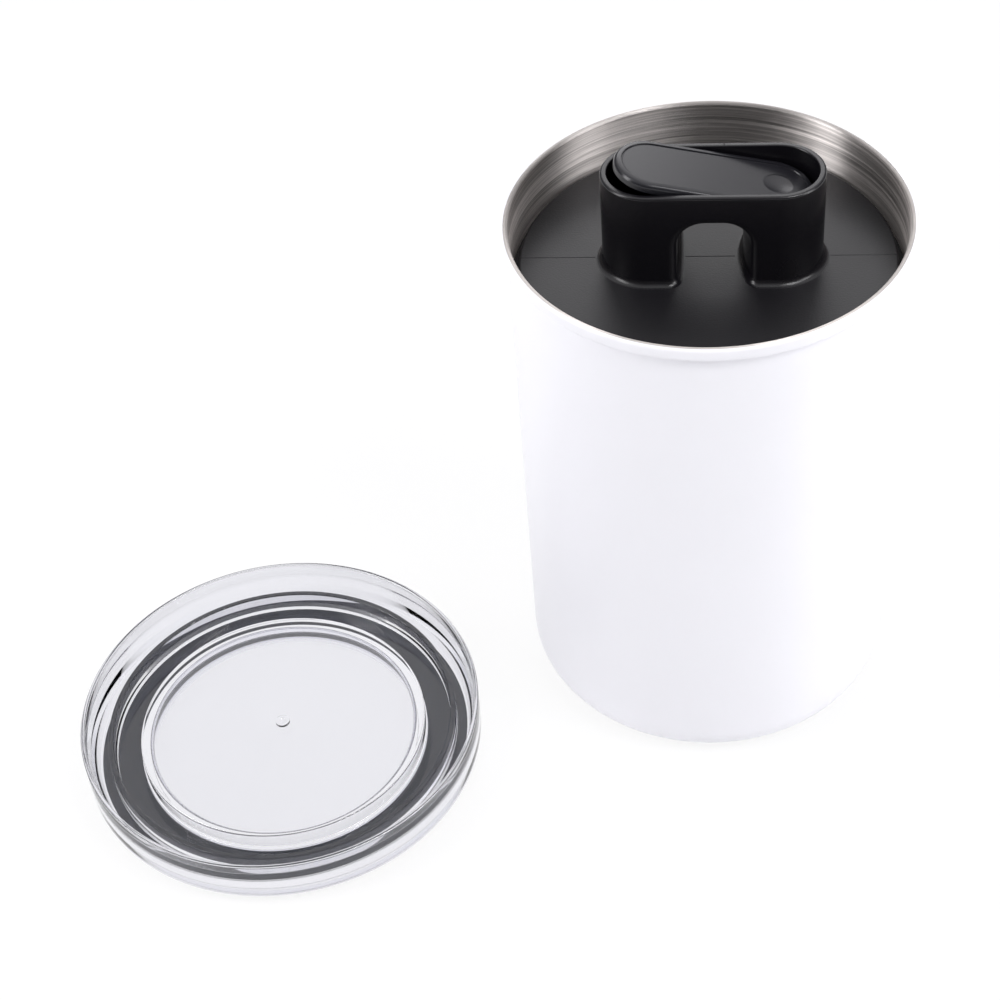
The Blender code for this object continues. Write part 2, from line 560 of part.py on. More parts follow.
def make_valve_spring(parent):
    """Compression spring between the handle's floor and the cap, with closed-up ends."""
    low = HANDLE_FLOOR + TOUCH_GAP + SPRING_WIRE_RADIUS
    seat = CAP_TOP - CAP_THICKNESS - CAP_SOCKET_WALL
    length = seat - TOUCH_GAP - SPRING_WIRE_RADIUS - low
    last = round(SPRING_TURNS * SPRING_POINTS_PER_TURN)
    curve = bpy.data.curves.new("valve_spring", "CURVE")
    curve.dimensions = "3D"
    curve.bevel_depth = SPRING_WIRE_RADIUS
    curve.bevel_resolution = 1
    curve.use_fill_caps = True
    spline = curve.splines.new("POLY")
    spline.points.add(last)
    points = []
    for index in range(last + 1):
        share = index / last
        angle = 2 * math.pi * index / SPRING_POINTS_PER_TURN
        climb = share - SPRING_END_SHARE * math.sin(2 * math.pi * share)
        points.append((SPRING_RADIUS * math.cos(angle), SPRING_RADIUS * math.sin(angle),
                       low + length * climb))
        spline.points[index].co = (*points[-1], 1)
    rise = min(high[2] - below[2] for below, high in zip(points, points[SPRING_POINTS_PER_TURN:]))
    print("valve_spring least gap between turns, mm:", round((rise - 2 * SPRING_WIRE_RADIUS) / MM, 2))
    curve.materials.append(spring_steel)
    spring = bpy.data.objects.new("valve_spring", curve)
    bpy.context.collection.objects.link(spring)
    spring.parent = parent


def make_lid(parent):
    """Clear lid turned in one: hub, rim plate, locating ring, outer wall and centre nub."""
    plate_top = LID_PLATE_UNDERSIDE + LID_PLATE_THICKNESS
    hub_inner = HUB_RADIUS - HUB_WALL
    hub_ceiling = HUB_HEIGHT - HUB_TOP
    wall_inner = LID_RADIUS - LID_WALL
    ring_inner = RING_RADIUS - RING_WALL
    foot = HUB_RADIUS + HUB_FOOT_LIP
    outline = [(0, hub_ceiling)]
    outline += arc(hub_inner - HUB_INNER_CORNER, hub_ceiling - HUB_INNER_CORNER, HUB_INNER_CORNER, 90, 0, 2)
    outline += [(hub_inner, 0), (foot, 0), (foot, HUB_FOOT_LIP_HEIGHT), (HUB_RADIUS, HUB_FOOT_LIP_HEIGHT),
                (HUB_RADIUS, LID_PLATE_UNDERSIDE)]
    outline += arc(LID_RADIUS - LID_OUTER_CORNER, LID_PLATE_UNDERSIDE + LID_OUTER_CORNER,
                   LID_OUTER_CORNER, -90, 0, 3)
    outline += arc(LID_RADIUS - LID_EDGE_ROUND, LID_HEIGHT - LID_EDGE_ROUND, LID_EDGE_ROUND, 0, 90, 2)
    outline += [(wall_inner, LID_HEIGHT)]
    outline += arc(wall_inner - LID_INNER_CORNER, plate_top + LID_INNER_CORNER, LID_INNER_CORNER, 0, -90, 2)
    outline += [(RING_RADIUS, plate_top)]
    outline += arc(RING_RADIUS - RING_EDGE_ROUND, RING_HEIGHT - RING_EDGE_ROUND, RING_EDGE_ROUND, 0, 90, 2)
    outline += arc(ring_inner + RING_EDGE_ROUND, RING_HEIGHT - RING_EDGE_ROUND, RING_EDGE_ROUND, 90, 180, 2)
    outline += [(ring_inner, plate_top), (HUB_RADIUS, plate_top)]
    outline += arc(HUB_RADIUS - HUB_EDGE_ROUND, HUB_HEIGHT - HUB_EDGE_ROUND, HUB_EDGE_ROUND, 0, 90, 3)
    outline += [(NUB_RADIUS, HUB_HEIGHT), (NUB_RADIUS - NUB_HEIGHT, HUB_HEIGHT + NUB_HEIGHT),
                (0, HUB_HEIGHT + NUB_HEIGHT)]
    turned("lid_cover", outline, clear_plastic, parent)

    inner = HUB_RADIUS + TOUCH_GAP
    outer = inner + LID_GASKET_WIDTH
    bottom = HUB_FOOT_LIP_HEIGHT + TOUCH_GAP
    top = LID_PLATE_UNDERSIDE - TOUCH_GAP
    turned("lid_gasket", [(inner, bottom), (outer, bottom), (outer, top), (inner, top)],
           grey_silicone, parent)


def clear_scene():
    """Remove whatever the scene holds before the model is built."""
    for existing in list(bpy.data.objects):
        bpy.data.objects.remove(existing, do_unlink=True)


clear_scene()
white_steel = make_material("white_powder_coat_on_steel", (0.87, 0.87, 0.88), 0.45)
black_plastic = make_material("black_moulded_plastic", (0.016, 0.016, 0.018), 0.42)
grey_plastic = make_material("dark_grey_moulded_plastic", (0.03, 0.03, 0.033), 0.4)
white_plastic = make_material("white_acetal", (0.8, 0.8, 0.78), 0.35)
black_silicone = make_material("black_silicone", (0.02, 0.02, 0.021), 0.6)
grey_silicone = make_material("grey_silicone", (0.11, 0.112, 0.125), 0.55)
clear_plastic = make_material("clear_plastic", (0.95, 0.96, 0.98), 0.05, alpha=0.35)
spring_steel = make_material("spring_steel", (0.6, 0.6, 0.6), 0.25, metallic=1.0)
guide_material = make_material("guide", (0.5, 0.5, 0.5), 0.5)

make_canister()
plunger_frame = make_frame("plunger_frame", None, (0, 0, PLUNGER_REST_HEIGHT))
make_plunger_body(plunger_frame)
make_plunger_base(plunger_frame)
make_wiper(plunger_frame)
lever_frame = make_frame("lever_frame", plunger_frame, (HANDLE_OFFSET, 0, PIVOT_HEIGHT), LEVER_OPEN_ANGLE)
make_lever(lever_frame)
valve_frame = make_frame("valve_frame", plunger_frame, (HANDLE_OFFSET + STEM_PLACE, 0, 0))
make_valve_stem(valve_frame)
make_stem_cap(valve_frame)
make_valve_seal(valve_frame)
make_valve_spring(valve_frame)
lid_frame = make_frame("lid_frame", None, (*LID_PLACE, 0))
make_lid(lid_frame)
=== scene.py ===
"""Looks of a coffee canister: shell, plunger, lever, valve, clear lid and a plain studio.

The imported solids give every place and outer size. Each piece here is a finer mesh that
stands for its solid, with the finish of the real material.
"""

import json
import math

import bmesh
import bpy
from mathutils import Matrix, Vector


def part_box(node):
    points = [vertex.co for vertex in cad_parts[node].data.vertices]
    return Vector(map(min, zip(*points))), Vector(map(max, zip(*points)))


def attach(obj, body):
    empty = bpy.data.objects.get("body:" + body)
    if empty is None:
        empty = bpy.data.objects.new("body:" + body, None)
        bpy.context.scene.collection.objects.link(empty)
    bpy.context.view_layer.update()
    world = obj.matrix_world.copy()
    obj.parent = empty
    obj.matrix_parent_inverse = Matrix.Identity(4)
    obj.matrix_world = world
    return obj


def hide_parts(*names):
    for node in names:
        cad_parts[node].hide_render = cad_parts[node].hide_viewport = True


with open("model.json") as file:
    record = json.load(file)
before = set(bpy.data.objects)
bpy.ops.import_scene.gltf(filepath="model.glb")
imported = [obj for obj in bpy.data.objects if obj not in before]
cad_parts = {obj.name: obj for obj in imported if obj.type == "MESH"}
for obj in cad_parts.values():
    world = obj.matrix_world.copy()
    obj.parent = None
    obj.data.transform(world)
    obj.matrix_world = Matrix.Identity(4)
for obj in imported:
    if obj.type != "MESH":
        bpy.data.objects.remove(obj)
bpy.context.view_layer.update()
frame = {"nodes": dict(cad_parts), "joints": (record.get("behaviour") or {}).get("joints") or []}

bl_info = {
    "name": "Coffee canister looks",
    "version": (1, 0, 0),
    "blender": (4, 5, 0),
    "location": "3D View > Sidebar > Canister",
    "description": "Builds the pieces and finishes of a coffee canister around its packed solids",
    "category": "Add Mesh",
}

MM = 0.001
DEGREE = math.pi / 180
WELD_DISTANCE = 0.0005 * MM
CUT_OVERRUN = 1.5 * MM
TOUCH_GAP = 0.3 * MM
FINE_ROUND = 0.2 * MM
SMOOTH_ANGLE = 32 * DEGREE
ROUND_STEPS = 224
SMALL_ROUND_STEPS = 64
END_STEPS = 40


def linear_colour(hex_colour):
    """Turn an sRGB hex colour into the linear values that shaders use."""
    channels = [int(hex_colour[place:place + 2], 16) / 255 for place in (0, 2, 4)]
    return [c / 12.92 if c <= 0.04045 else ((c + 0.055) / 1.055) ** 2.4 for c in channels]


def size_property(name, description, millimetres):
    """A length that a user may change, given in millimetres."""
    return bpy.props.FloatProperty(name=name, description=description, default=millimetres * MM,
                                   subtype="DISTANCE", unit="LENGTH", precision=4)


def colour_property(name, description, hex_colour):
    """A colour that a user may change, given as an sRGB hex value."""
    return bpy.props.FloatVectorProperty(name=name, description=description, size=3, min=0, max=1,
                                         default=linear_colour(hex_colour), subtype="COLOR")


def power_property(name, description, watts):
    """The power of a lamp."""
    return bpy.props.FloatProperty(name=name, description=description, default=watts, min=0,
                                   unit="POWER")


def angle_property(name, description, degrees):
    """An angle that a user may change, given in degrees."""
    return bpy.props.FloatProperty(name=name, description=description, default=degrees * DEGREE,
                                   subtype="ANGLE", unit="ROTATION")


class ShellSettings(bpy.types.PropertyGroup):
    """Sizes and colours of the steel canister."""

    coat_colour: colour_property("Coat", "Powder coat outside and over the lip", "efeff3")
    steel_colour: colour_property("Steel", "Bare brushed steel inside", "e6e0dc")
    wall: size_property("Wall", "Thickness of the drawn steel", 0.6)
    foot_round: size_property("Foot round", "Radius of the round between wall and base", 13)
    lip_width: size_property("Lip width", "Width of the rolled lip", 2.2)
    lip_height: size_property("Lip height", "Height of the rolled lip", 4.4)


class PlungerSettings(bpy.types.PropertyGroup):
    """Sizes and colours of the plunger, its handle and its lever."""

    plastic_colour: colour_property("Plunger plastic", "Satin black moulding", "0e0d11")
    lever_colour: colour_property("Lever plastic", "Satin grey-black moulding", "1c1c20")
    handle_height: size_property("Handle height", "From the disc to the handle's rim", 31.7)
    handle_half_length: size_property("Handle half length", "Half the handle, end to end", 33.2)
    handle_half_width: size_property("Handle half width", "Half the handle, front to rear", 14.1)
    handle_wall: size_property("Handle wall", "Thickness of the handle's rim", 2.1)
    rim_round: size_property("Rim round", "Round on the outside of the handle's rim", 0.8)
    mouth_round: size_property("Mouth round", "Round on the inside of the handle's rim", 0.5)
    foot_fillet: size_property("Foot fillet", "Fillet where the legs meet the disc", 2.2)
    arch_half_width: size_property("Arch half width", "Half the finger arch at its narrowest", 9.7)
    arch_height: size_property("Arch height", "Top of the finger arch over the disc", 21.5)
    arch_corner: size_property("Arch corner", "Radius of the arch's upper corners", 8.4)
    arch_round: size_property("Arch round", "Round on the arch's front and rear edges", 2.9)
    arch_offset: size_property("Arch offset", "Arch's middle from the handle's middle", -0.6)
    left_bow: size_property("Left wall bow", "Radius of the arch's left wall, almost flat", 300)
    right_bow: size_property("Right wall bow", "Radius of the arch's right wall", 33)
    disc_thickness: size_property("Disc thickness", "Thickness of the disc", 2.2)
    skirt_inset: size_property("Skirt inset", "Step between disc edge and skirt", 1.4)
    skirt_wall: size_property("Skirt wall", "Thickness of the skirt", 1.8)
    pivot_radius: size_property("Pivot radius", "Radius of the lever's pivot stubs", 1.5)
    seam_width: size_property("Seam width", "Width of the mould's parting line", 0.34)


class LidSettings(bpy.types.PropertyGroup):
    """Sizes and colours of the clear lid."""

    clear_colour: colour_property("Clear plastic", "Tint of the clear moulding", "eeeef3")
    washer_colour: colour_property("Washer", "Grey silicone washer", "1e2330")
    hub_radius: size_property("Hub radius", "Outer radius of the raised hub", 48.5)
    hub_height: size_property("Hub height", "Top of the hub over the floor", 11)
    ring_radius: size_property("Ring radius", "Outer radius of the locating ring", 59.4)
    ring_height: size_property("Ring height", "Top of the locating ring over the floor", 13.4)


class StudioSettings(bpy.types.PropertyGroup):
    """The camera's place and the lights' strengths."""

    camera_distance: size_property("Camera distance", "From the canister's axis to the lens", 649.3)
    camera_elevation: angle_property("Camera elevation", "How far the camera looks down", 36.612)
    floor_colour: colour_property("Floor", "Pale studio floor", "f4f4f5")
    key_power: power_property("Key light", "Power of the large light on the right", 5.8)
    fill_power: power_property("Fill light", "Power of the soft light on the left", 6.9)
    top_power: power_property("Top light", "Power of the light over the front", 3.4)
    rear_power: power_property("Rear light", "Power of the light behind", 2.6)


def add_node(material, kind, values=None, links=None, **settings):
    """Add a shader node, set its properties and inputs, and link other nodes into it."""
    node = material.node_tree.nodes.new(kind)
    for name, value in settings.items():
        setattr(node, name, value)
    for socket, value in (values or {}).items():
        node.inputs[socket].default_value = value
    for socket, source in (links or {}).items():
        material.node_tree.links.new(source, node.inputs[socket])
    return node


def new_material(name):
    """A material whose node tree is still empty."""
    material = bpy.data.materials.new(name)
    material.use_nodes = True
    material.node_tree.nodes.clear()
    return material


def close_material(material, values, links):
    """Give a material its Principled shader and its output."""
    shader = add_node(material, "ShaderNodeBsdfPrincipled", values, links)
    add_node(material, "ShaderNodeOutputMaterial", links={"Surface": shader.outputs["BSDF"]})
    return material


def rgba(colour):
    """A colour with full opacity."""
    return (*colour, 1.0)


def noise(material, size, detail):
    """Noise that is fixed to the object, with about one bump to a given length."""
    place = add_node(material, "ShaderNodeTexCoord")
    texture = add_node(material, "ShaderNodeTexNoise", {"Scale": 1 / size, "Detail": detail},
                       {"Vector": place.outputs["Object"]})
    return texture.outputs["Fac"]


def ring_noise(material, pitch, across, detail, roughness):
    """Noise in rings of a given pitch up the axis, with a few bumps per metre across it."""
    place = add_node(material, "ShaderNodeTexCoord")
    stretch = add_node(material, "ShaderNodeMapping", {"Scale": (across, across, 1 / pitch)},
                       {"Vector": place.outputs["Object"]})
    texture = add_node(material, "ShaderNodeTexNoise",
                       {"Scale": 1.0, "Detail": detail, "Roughness": roughness},
                       {"Vector": stretch.outputs["Vector"]})
    return texture.outputs["Fac"]


def spread(material, share, start, end, low, high):
    """A value that goes from low to high while a share goes from start to end."""
    ramp = add_node(material, "ShaderNodeMapRange",
                    {"From Min": start, "From Max": end, "To Min": low, "To Max": high},
                    {"Value": share})
    return ramp.outputs["Result"]


def blend(material, share, first, second):
    """A colour that goes from one to another with a share."""
    mix = add_node(material, "ShaderNodeMix", {"A": rgba(first), "B": rgba(second)},
                   {"Factor": share}, data_type="RGBA")
    return mix.outputs["Result"]


def bumps(material, height, strength, distance):
    """Normals that shade a surface as if it had bumps."""
    bump = add_node(material, "ShaderNodeBump", {"Strength": strength, "Distance": distance},
                    {"Height": height})
    return bump.outputs["Normal"]


def calculate(material, operation, *terms):
    """The result of a sum, product or the like, of sockets and plain numbers."""
    numbers = {place: term for place, term in enumerate(terms) if isinstance(term, (int, float))}
    sockets = {place: term for place, term in enumerate(terms) if place not in numbers}
    node = add_node(material, "ShaderNodeMath", numbers, sockets, operation=operation)
    return node.outputs["Value"]


def seen_by(material, *rays):
    """One for the kinds of ray that are named, and nought for the others."""
    path = add_node(material, "ShaderNodeLightPath")
    seen = 0.0
    for ray in rays:
        seen = calculate(material, "MAXIMUM", path.outputs[ray], seen)
    return seen


def powder_coated_steel(settings):
    """Powder-coated steel, sprayed and baked: a white satin skin with a faint orange peel."""
    material = new_material("powder_coated_steel_satin")
    # Orange peel runs about one bump to 1.5 mm, and is almost flat.
    peel = noise(material, 1.5 * MM, 2)
    # The powder lies a little uneven, which shows as a slow drift in tone and gloss.
    cloud = noise(material, 45 * MM, 3)
    shaded = [0.985 * channel for channel in settings.coat_colour]
    return close_material(material, {"IOR": 1.5}, {
        "Base Color": blend(material, cloud, shaded, settings.coat_colour),
        "Roughness": spread(material, cloud, 0, 1, 0.36, 0.44),
        "Normal": bumps(material, peel, 0.06, 0.05 * MM)})


def brushed_stainless_steel(settings):
    """Stainless steel brushed round the bore: fine rings that smear highlights up and down."""
    material = new_material("stainless_steel_brushed_round")
    # Brush lines are drawn at 0.7 mm, coarser than the real ones, so that they show.
    lines = ring_noise(material, 0.7 * MM, 14, 5, 0.65)
    # Every few millimetres a heavier pass of the brush leaves a band.
    bands = ring_noise(material, 2.6 * MM, 5, 3, 0.5)
    brushing = calculate(material, "MULTIPLY_ADD", bands, 0.5, lines)
    shade = spread(material, brushing, 0.58, 0.92, 0, 1)
    dark = [0.45 * channel for channel in settings.steel_colour]
    along = add_node(material, "ShaderNodeTangent", direction_type="RADIAL", axis="Z")
    # A quarter turn of the lobe smears highlights along the can's axis.
    lobe = {"Metallic": 1.0, "Anisotropic": 1.0, "Anisotropic Rotation": 0.25}
    return close_material(material, lobe, {
        "Base Color": blend(material, shade, dark, settings.steel_colour),
        "Roughness": spread(material, brushing, 0.5, 1, 0.34, 0.47),
        "Normal": bumps(material, brushing, 0.8, 0.18 * MM),
        "Tangent": along.outputs["Tangent"]})


def moulded_plastic(name, colour, roughness, grain_size, grain_strength):
    """Moulded plastic from an etched mould: a satin skin with a fine even grain."""
    material = new_material(name)
    grain = noise(material, grain_size, 2)
    # Flow of the plastic leaves broad, faint changes in gloss.
    flow = noise(material, 30 * MM, 3)
    pale = [1.15 * channel for channel in colour]
    return close_material(material, {"IOR": 1.5}, {
        "Base Color": blend(material, grain, colour, pale),
        "Roughness": spread(material, flow, 0, 1, roughness - 0.03, roughness + 0.03),
        "Normal": bumps(material, grain, grain_strength, 0.04 * MM)})


def silicone_rubber(name, colour):
    """Moulded silicone: matt and even, with a soft bloom of talc at grazing angles."""
    material = new_material(name)
    bloom = noise(material, 6 * MM, 4)
    pale = [1.12 * channel for channel in colour]
    return close_material(material, {"IOR": 1.41, "Sheen Weight": 0.08, "Sheen Roughness": 0.5}, {
        "Base Color": blend(material, bloom, colour, pale),
        "Roughness": spread(material, bloom, 0, 1, 0.5, 0.62)})


def clear_acrylic(settings):
    """Clear acrylic from a polished mould: glass-like, with dark and bright lines at its edges."""
    material = new_material("acrylic_clear_polished")
    # Polished surfaces still hold a faint wave, one to about 18 mm.
    wave = noise(material, 18 * MM, 1)
    glass = {"Base Color": rgba(settings.clear_colour), "IOR": 1.49, "Transmission Weight": 1.0}
    return close_material(material, glass, {
        "Roughness": spread(material, wave, 0, 1, 0, 0.03),
        "Normal": bumps(material, wave, 0.05, 0.04 * MM)})


def drawn_spring_wire():
    """Stainless wire drawn through a die: bright steel with faint marks along it."""
    material = new_material("stainless_spring_wire_drawn")
    marks = noise(material, 0.8 * MM, 3)
    return close_material(material, {"Base Color": rgba(linear_colour("c4c3c0")), "Metallic": 1.0},
                          {"Roughness": spread(material, marks, 0, 1, 0.2, 0.34)})


def arc(centre_radius, centre_height, radius, start, end, steps=8):
    """Points of an arc in an outline, with angles in degrees from the outward axis."""
    points = []
    for step in range(steps + 1):
        angle = (start + (end - start) * step / steps) * DEGREE
        points.append((centre_radius + radius * math.cos(angle),
                       centre_height + radius * math.sin(angle)))
    return points


def rounded(corners, steps=6):
    """An open outline through corners of (radius, height, round), with each corner rounded."""
    outline = []
    for index, (x, z, fillet) in enumerate(corners):
        here = Vector((x, z))
        if fillet == 0 or index in (0, len(corners) - 1):
            outline.append((x, z))
            continue
        before = (Vector(corners[index - 1][:2]) - here).normalized()
        after = (Vector(corners[index + 1][:2]) - here).normalized()
        half = before.angle(after) / 2
        centre = here + (before + after).normalized() * (fillet / math.sin(half))
        first = here + before * (fillet / math.tan(half)) - centre
        last = here + after * (fillet / math.tan(half)) - centre
        for step in range(steps + 1):
            outline.append(tuple(centre + first.slerp(last, step / steps) * fillet))
    return outline


def stadium(half_length, half_width):
    """Outline of a plate with two half-round ends."""
    straight = half_length - half_width
    right = arc(straight, 0, half_width, -90, 90, END_STEPS)
    left = arc(-straight, 0, half_width, 90, 270, END_STEPS)
    return right + left


def finish_mesh(name, mesh, *materials):
    """Weld a mesh, face it outward and make it an object with smooth shading."""
    bmesh.ops.remove_doubles(mesh, verts=mesh.verts, dist=WELD_DISTANCE)
    bmesh.ops.recalc_face_normals(mesh, faces=mesh.faces)
    data = bpy.data.meshes.new(name)
    mesh.to_mesh(data)
    mesh.free()
    for material in materials:
        data.materials.append(material)
    data.shade_smooth()
    data.set_sharp_from_angle(angle=SMOOTH_ANGLE)
    piece = bpy.data.objects.new(name, data)
    bpy.context.scene.collection.objects.link(piece)
    return piece


def turned(name, outline, axis, *materials, steps=ROUND_STEPS):
    """A solid turned round a vertical axis from an outline of (radius, height) points."""
    mesh = bmesh.new()
    points = [mesh.verts.new((radius, 0, height)) for radius, height in outline]
    edges = [mesh.edges.new(pair) for pair in zip(points, points[1:])]
    if outline[0][0] > 0:
        edges.append(mesh.edges.new((points[-1], points[0])))
    bmesh.ops.spin(mesh, geom=points + edges, cent=(0, 0, 0), axis=(0, 0, 1),
                   angle=2 * math.pi, steps=steps, use_merge=True)
    piece = finish_mesh(name, mesh, *materials)
    piece.data.transform(Matrix.Translation(axis))
    return piece


def lofted(name, rings, place, *materials):
    """A solid through rings of matching points, closed by a face at each end."""
    mesh = bmesh.new()
    loops = [[mesh.verts.new(point) for point in ring] for ring in rings]
    for low, high in zip(loops, loops[1:]):
        for index, corner in enumerate(low):
            mesh.faces.new((low[index - 1], corner, high[index], high[index - 1]))
    mesh.faces.new(loops[0])
    mesh.faces.new(loops[-1])
    piece = finish_mesh(name, mesh, *materials)
    piece.data.transform(Matrix.Translation(place))
    return piece


def obround(name, half_length, half_width, sections, place, *materials):
    """A solid with half-round ends, through sections of (margin all round, height)."""
    rings = [[(x, y, up) for x, y in stadium(half_length + out, half_width + out)]
             for out, up in sections]
    return lofted(name, rings, place, *materials)


def carve(piece, tool, operation="DIFFERENCE"):
    """Cut a tool out of a piece, or join it on, and keep only the result."""
    modifier = piece.modifiers.new("carve", "BOOLEAN")
    modifier.operation = operation
    modifier.object = tool
    modifier.solver = "EXACT"
    shaped = piece.evaluated_get(bpy.context.evaluated_depsgraph_get())
    result = bpy.data.meshes.new_from_object(shaped)
    # The cut leaves slivers where edges nearly meet, and they are welded away.
    mesh = bmesh.new()
    mesh.from_mesh(result)
    bmesh.ops.remove_doubles(mesh, verts=mesh.verts, dist=WELD_DISTANCE)
    bmesh.ops.dissolve_degenerate(mesh, dist=WELD_DISTANCE, edges=mesh.edges)
    mesh.to_mesh(result)
    mesh.free()
    piece.modifiers.clear()
    piece.data = result
    bpy.data.objects.remove(tool, do_unlink=True)
    result.shade_smooth()
    result.set_sharp_from_angle(angle=SMOOTH_ANGLE)


def even_normals(piece):
    """Let large faces set the shading, so that cut-outs leave flat walls flat."""
    modifier = piece.modifiers.new("even_normals", "WEIGHTED_NORMAL")
    modifier.keep_sharp = True
    modifier.weight = 80


def groove(name, width, start, end, place):
    """A long cutter with a V below its place and a box above it, laid along X."""
    half = width / 2
    outline = [(-half, CUT_OVERRUN), (-half, 0), (0, -half), (half, 0), (half, CUT_OVERRUN)]
    return lofted(name, [[(x, y, z) for y, z in outline] for x in (start, end)], place)


def drill(name, radius, low, high, place):
    """A small round cutter that stands upright at a place, between two heights."""
    outline = [(0, low), (radius, low), (radius, high), (0, high)]
    return turned(name, outline, place, steps=SMALL_ROUND_STEPS)


def arch_depths(plunger):
    """Places across the handle, front to rear, where the arch's section is taken."""
    middle = plunger.handle_half_width - plunger.arch_round
    depths = [middle + plunger.arch_round * math.sin(angle * DEGREE)
              for angle in (90, 78, 66, 54, 42, 30, 18, 6)]
    depths += [middle * share for share in (0.85, 0.6, 0.3)]
    return [-depth for depth in depths] + [0] + depths[::-1]


def wall_curve(plunger, bow, depth):
    """Centre and radius of the curve that an arch wall follows at one depth."""
    middle = plunger.handle_half_width - plunger.arch_round
    inner = bow - plunger.arch_round
    if abs(depth) <= bow * middle / inner:
        return bow, 0, bow
    centre = bow - math.sqrt(inner ** 2 - middle ** 2)
    return centre, math.copysign(middle, depth), plunger.arch_round


def wall_point(plunger, bow, depth, margin=0):
    """Where an arch wall stands at one depth, from its innermost point, thickened by a margin."""
    centre, centre_depth, radius = wall_curve(plunger, bow, depth)
    back = math.sqrt(max(0, radius ** 2 - (depth - centre_depth) ** 2))
    grow = 1 + margin / radius
    return centre - back * grow, centre_depth + (depth - centre_depth) * grow


def arch_outline(plunger, depth, margin=0):
    """The finger arch as seen from the front at one depth, widened all round by a margin."""
    edge = plunger.arch_round
    over = max(0, abs(depth) - plunger.handle_half_width + edge)
    flare = edge - math.sqrt(max(0, edge ** 2 - over ** 2))
    spring_height = plunger.arch_height - plunger.arch_corner
    corner = plunger.arch_corner + flare + margin
    width = plunger.arch_half_width + margin
    right = width + wall_point(plunger, plunger.right_bow, depth)[0]
    left = width + wall_point(plunger, plunger.left_bow, depth)[0]
    outline = [(-left, -2 * plunger.disc_thickness), (right, -2 * plunger.disc_thickness)]
    outline += arc(right - corner, spring_height, corner, 0, 90, 24)
    outline += arc(corner - left, spring_height, corner, 90, 180, 24)
    return outline


def leg_outline(plunger, side, bow, margin):
    """Plan of one leg of the handle, grown outward by a margin."""
    width = plunger.handle_half_width
    inner = plunger.arch_half_width + side * plunger.arch_offset
    outline = arc(plunger.handle_half_length - width, 0, width + margin, -90, 90, END_STEPS)
    for depth in arch_depths(plunger)[::-1]:
        reach, place = wall_point(plunger, bow, depth, margin)
        outline.append((inner + reach, place))
    return [(side * x, y) for x, y in outline]


# Least thickness left under the handle's open mouth
HANDLE_FLOOR = 0.8 * MM


def hollow_handle(plunger, centre, material):
    """The bridge with its rounded rim, filleted feet, open mouth and finger arch."""
    length = plunger.handle_half_length
    width = plunger.handle_half_width
    height = plunger.handle_height
    wall = plunger.handle_wall
    fillet = plunger.foot_fillet
    rim = plunger.rim_round
    root = -plunger.disc_thickness / 2
    sections = [(0, root)] + arc(-rim, height - rim, rim, 0, 90, 8)
    handle = obround("plunger_handle", length, width, sections, centre, material)

    arch_centre = centre + Vector((plunger.arch_offset, 0, 0))
    depths = arch_depths(plunger)
    stations = [depths[0] - CUT_OVERRUN] + depths + [depths[-1] + CUT_OVERRUN]
    shapes = [depths[0]] + depths + [depths[-1]]
    rings = [[(x, station, z) for x, z in arch_outline(plunger, shape)]
             for station, shape in zip(stations, shapes)]
    carve(handle, lofted("arch", rings, arch_centre))

    sections = [(fillet, root)]
    sections += [(fillet + out, up) for out, up in arc(0, fillet, fillet, -90, -180, 12)]
    sections += [(-wall / 4, fillet)]
    for name, side, bow in (("foot_left", -1, plunger.left_bow),
                            ("foot_right", 1, plunger.right_bow)):
        rings = [[(x, y, up) for x, y in leg_outline(plunger, side, bow, out)]
                 for out, up in sections]
        carve(handle, lofted(name, rings, centre), "UNION")

    edge = plunger.mouth_round
    sections = [(0, HANDLE_FLOOR)]
    sections += [(edge + out, up) for out, up in arc(0, height - edge, edge, 180, 90, 6)]
    sections += [(edge, height + CUT_OVERRUN)]
    pocket = obround("pocket", length - wall, width - wall, sections, centre)
    rings = [[(x, depth, z) for x, z in arch_outline(plunger, depth, wall)] for depth in depths]
    carve(pocket, lofted("casing", rings, arch_centre))
    carve(handle, pocket)
    return handle


def stand_for(piece, body, node):
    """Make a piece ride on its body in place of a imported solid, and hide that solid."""
    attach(piece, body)
    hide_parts(node)


def dress(node, material):
    """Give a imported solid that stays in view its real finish."""
    data = frame["nodes"][node].data
    data.materials.clear()
    data.materials.append(material)


def valve_centre():
    """The middle of the valve's seal, which lies on the stem's axis."""
    low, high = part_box("valve_seal")
    return (low + high) / 2


def joint_place(name):
    """Where a joint's axis lies at rest."""
    return next(Vector(joint["pos_m"]) for joint in frame["joints"] if joint["name"] == name)


# How far outward a face of the lip may lean and still show bare steel
CREST_LEAN = 0.3


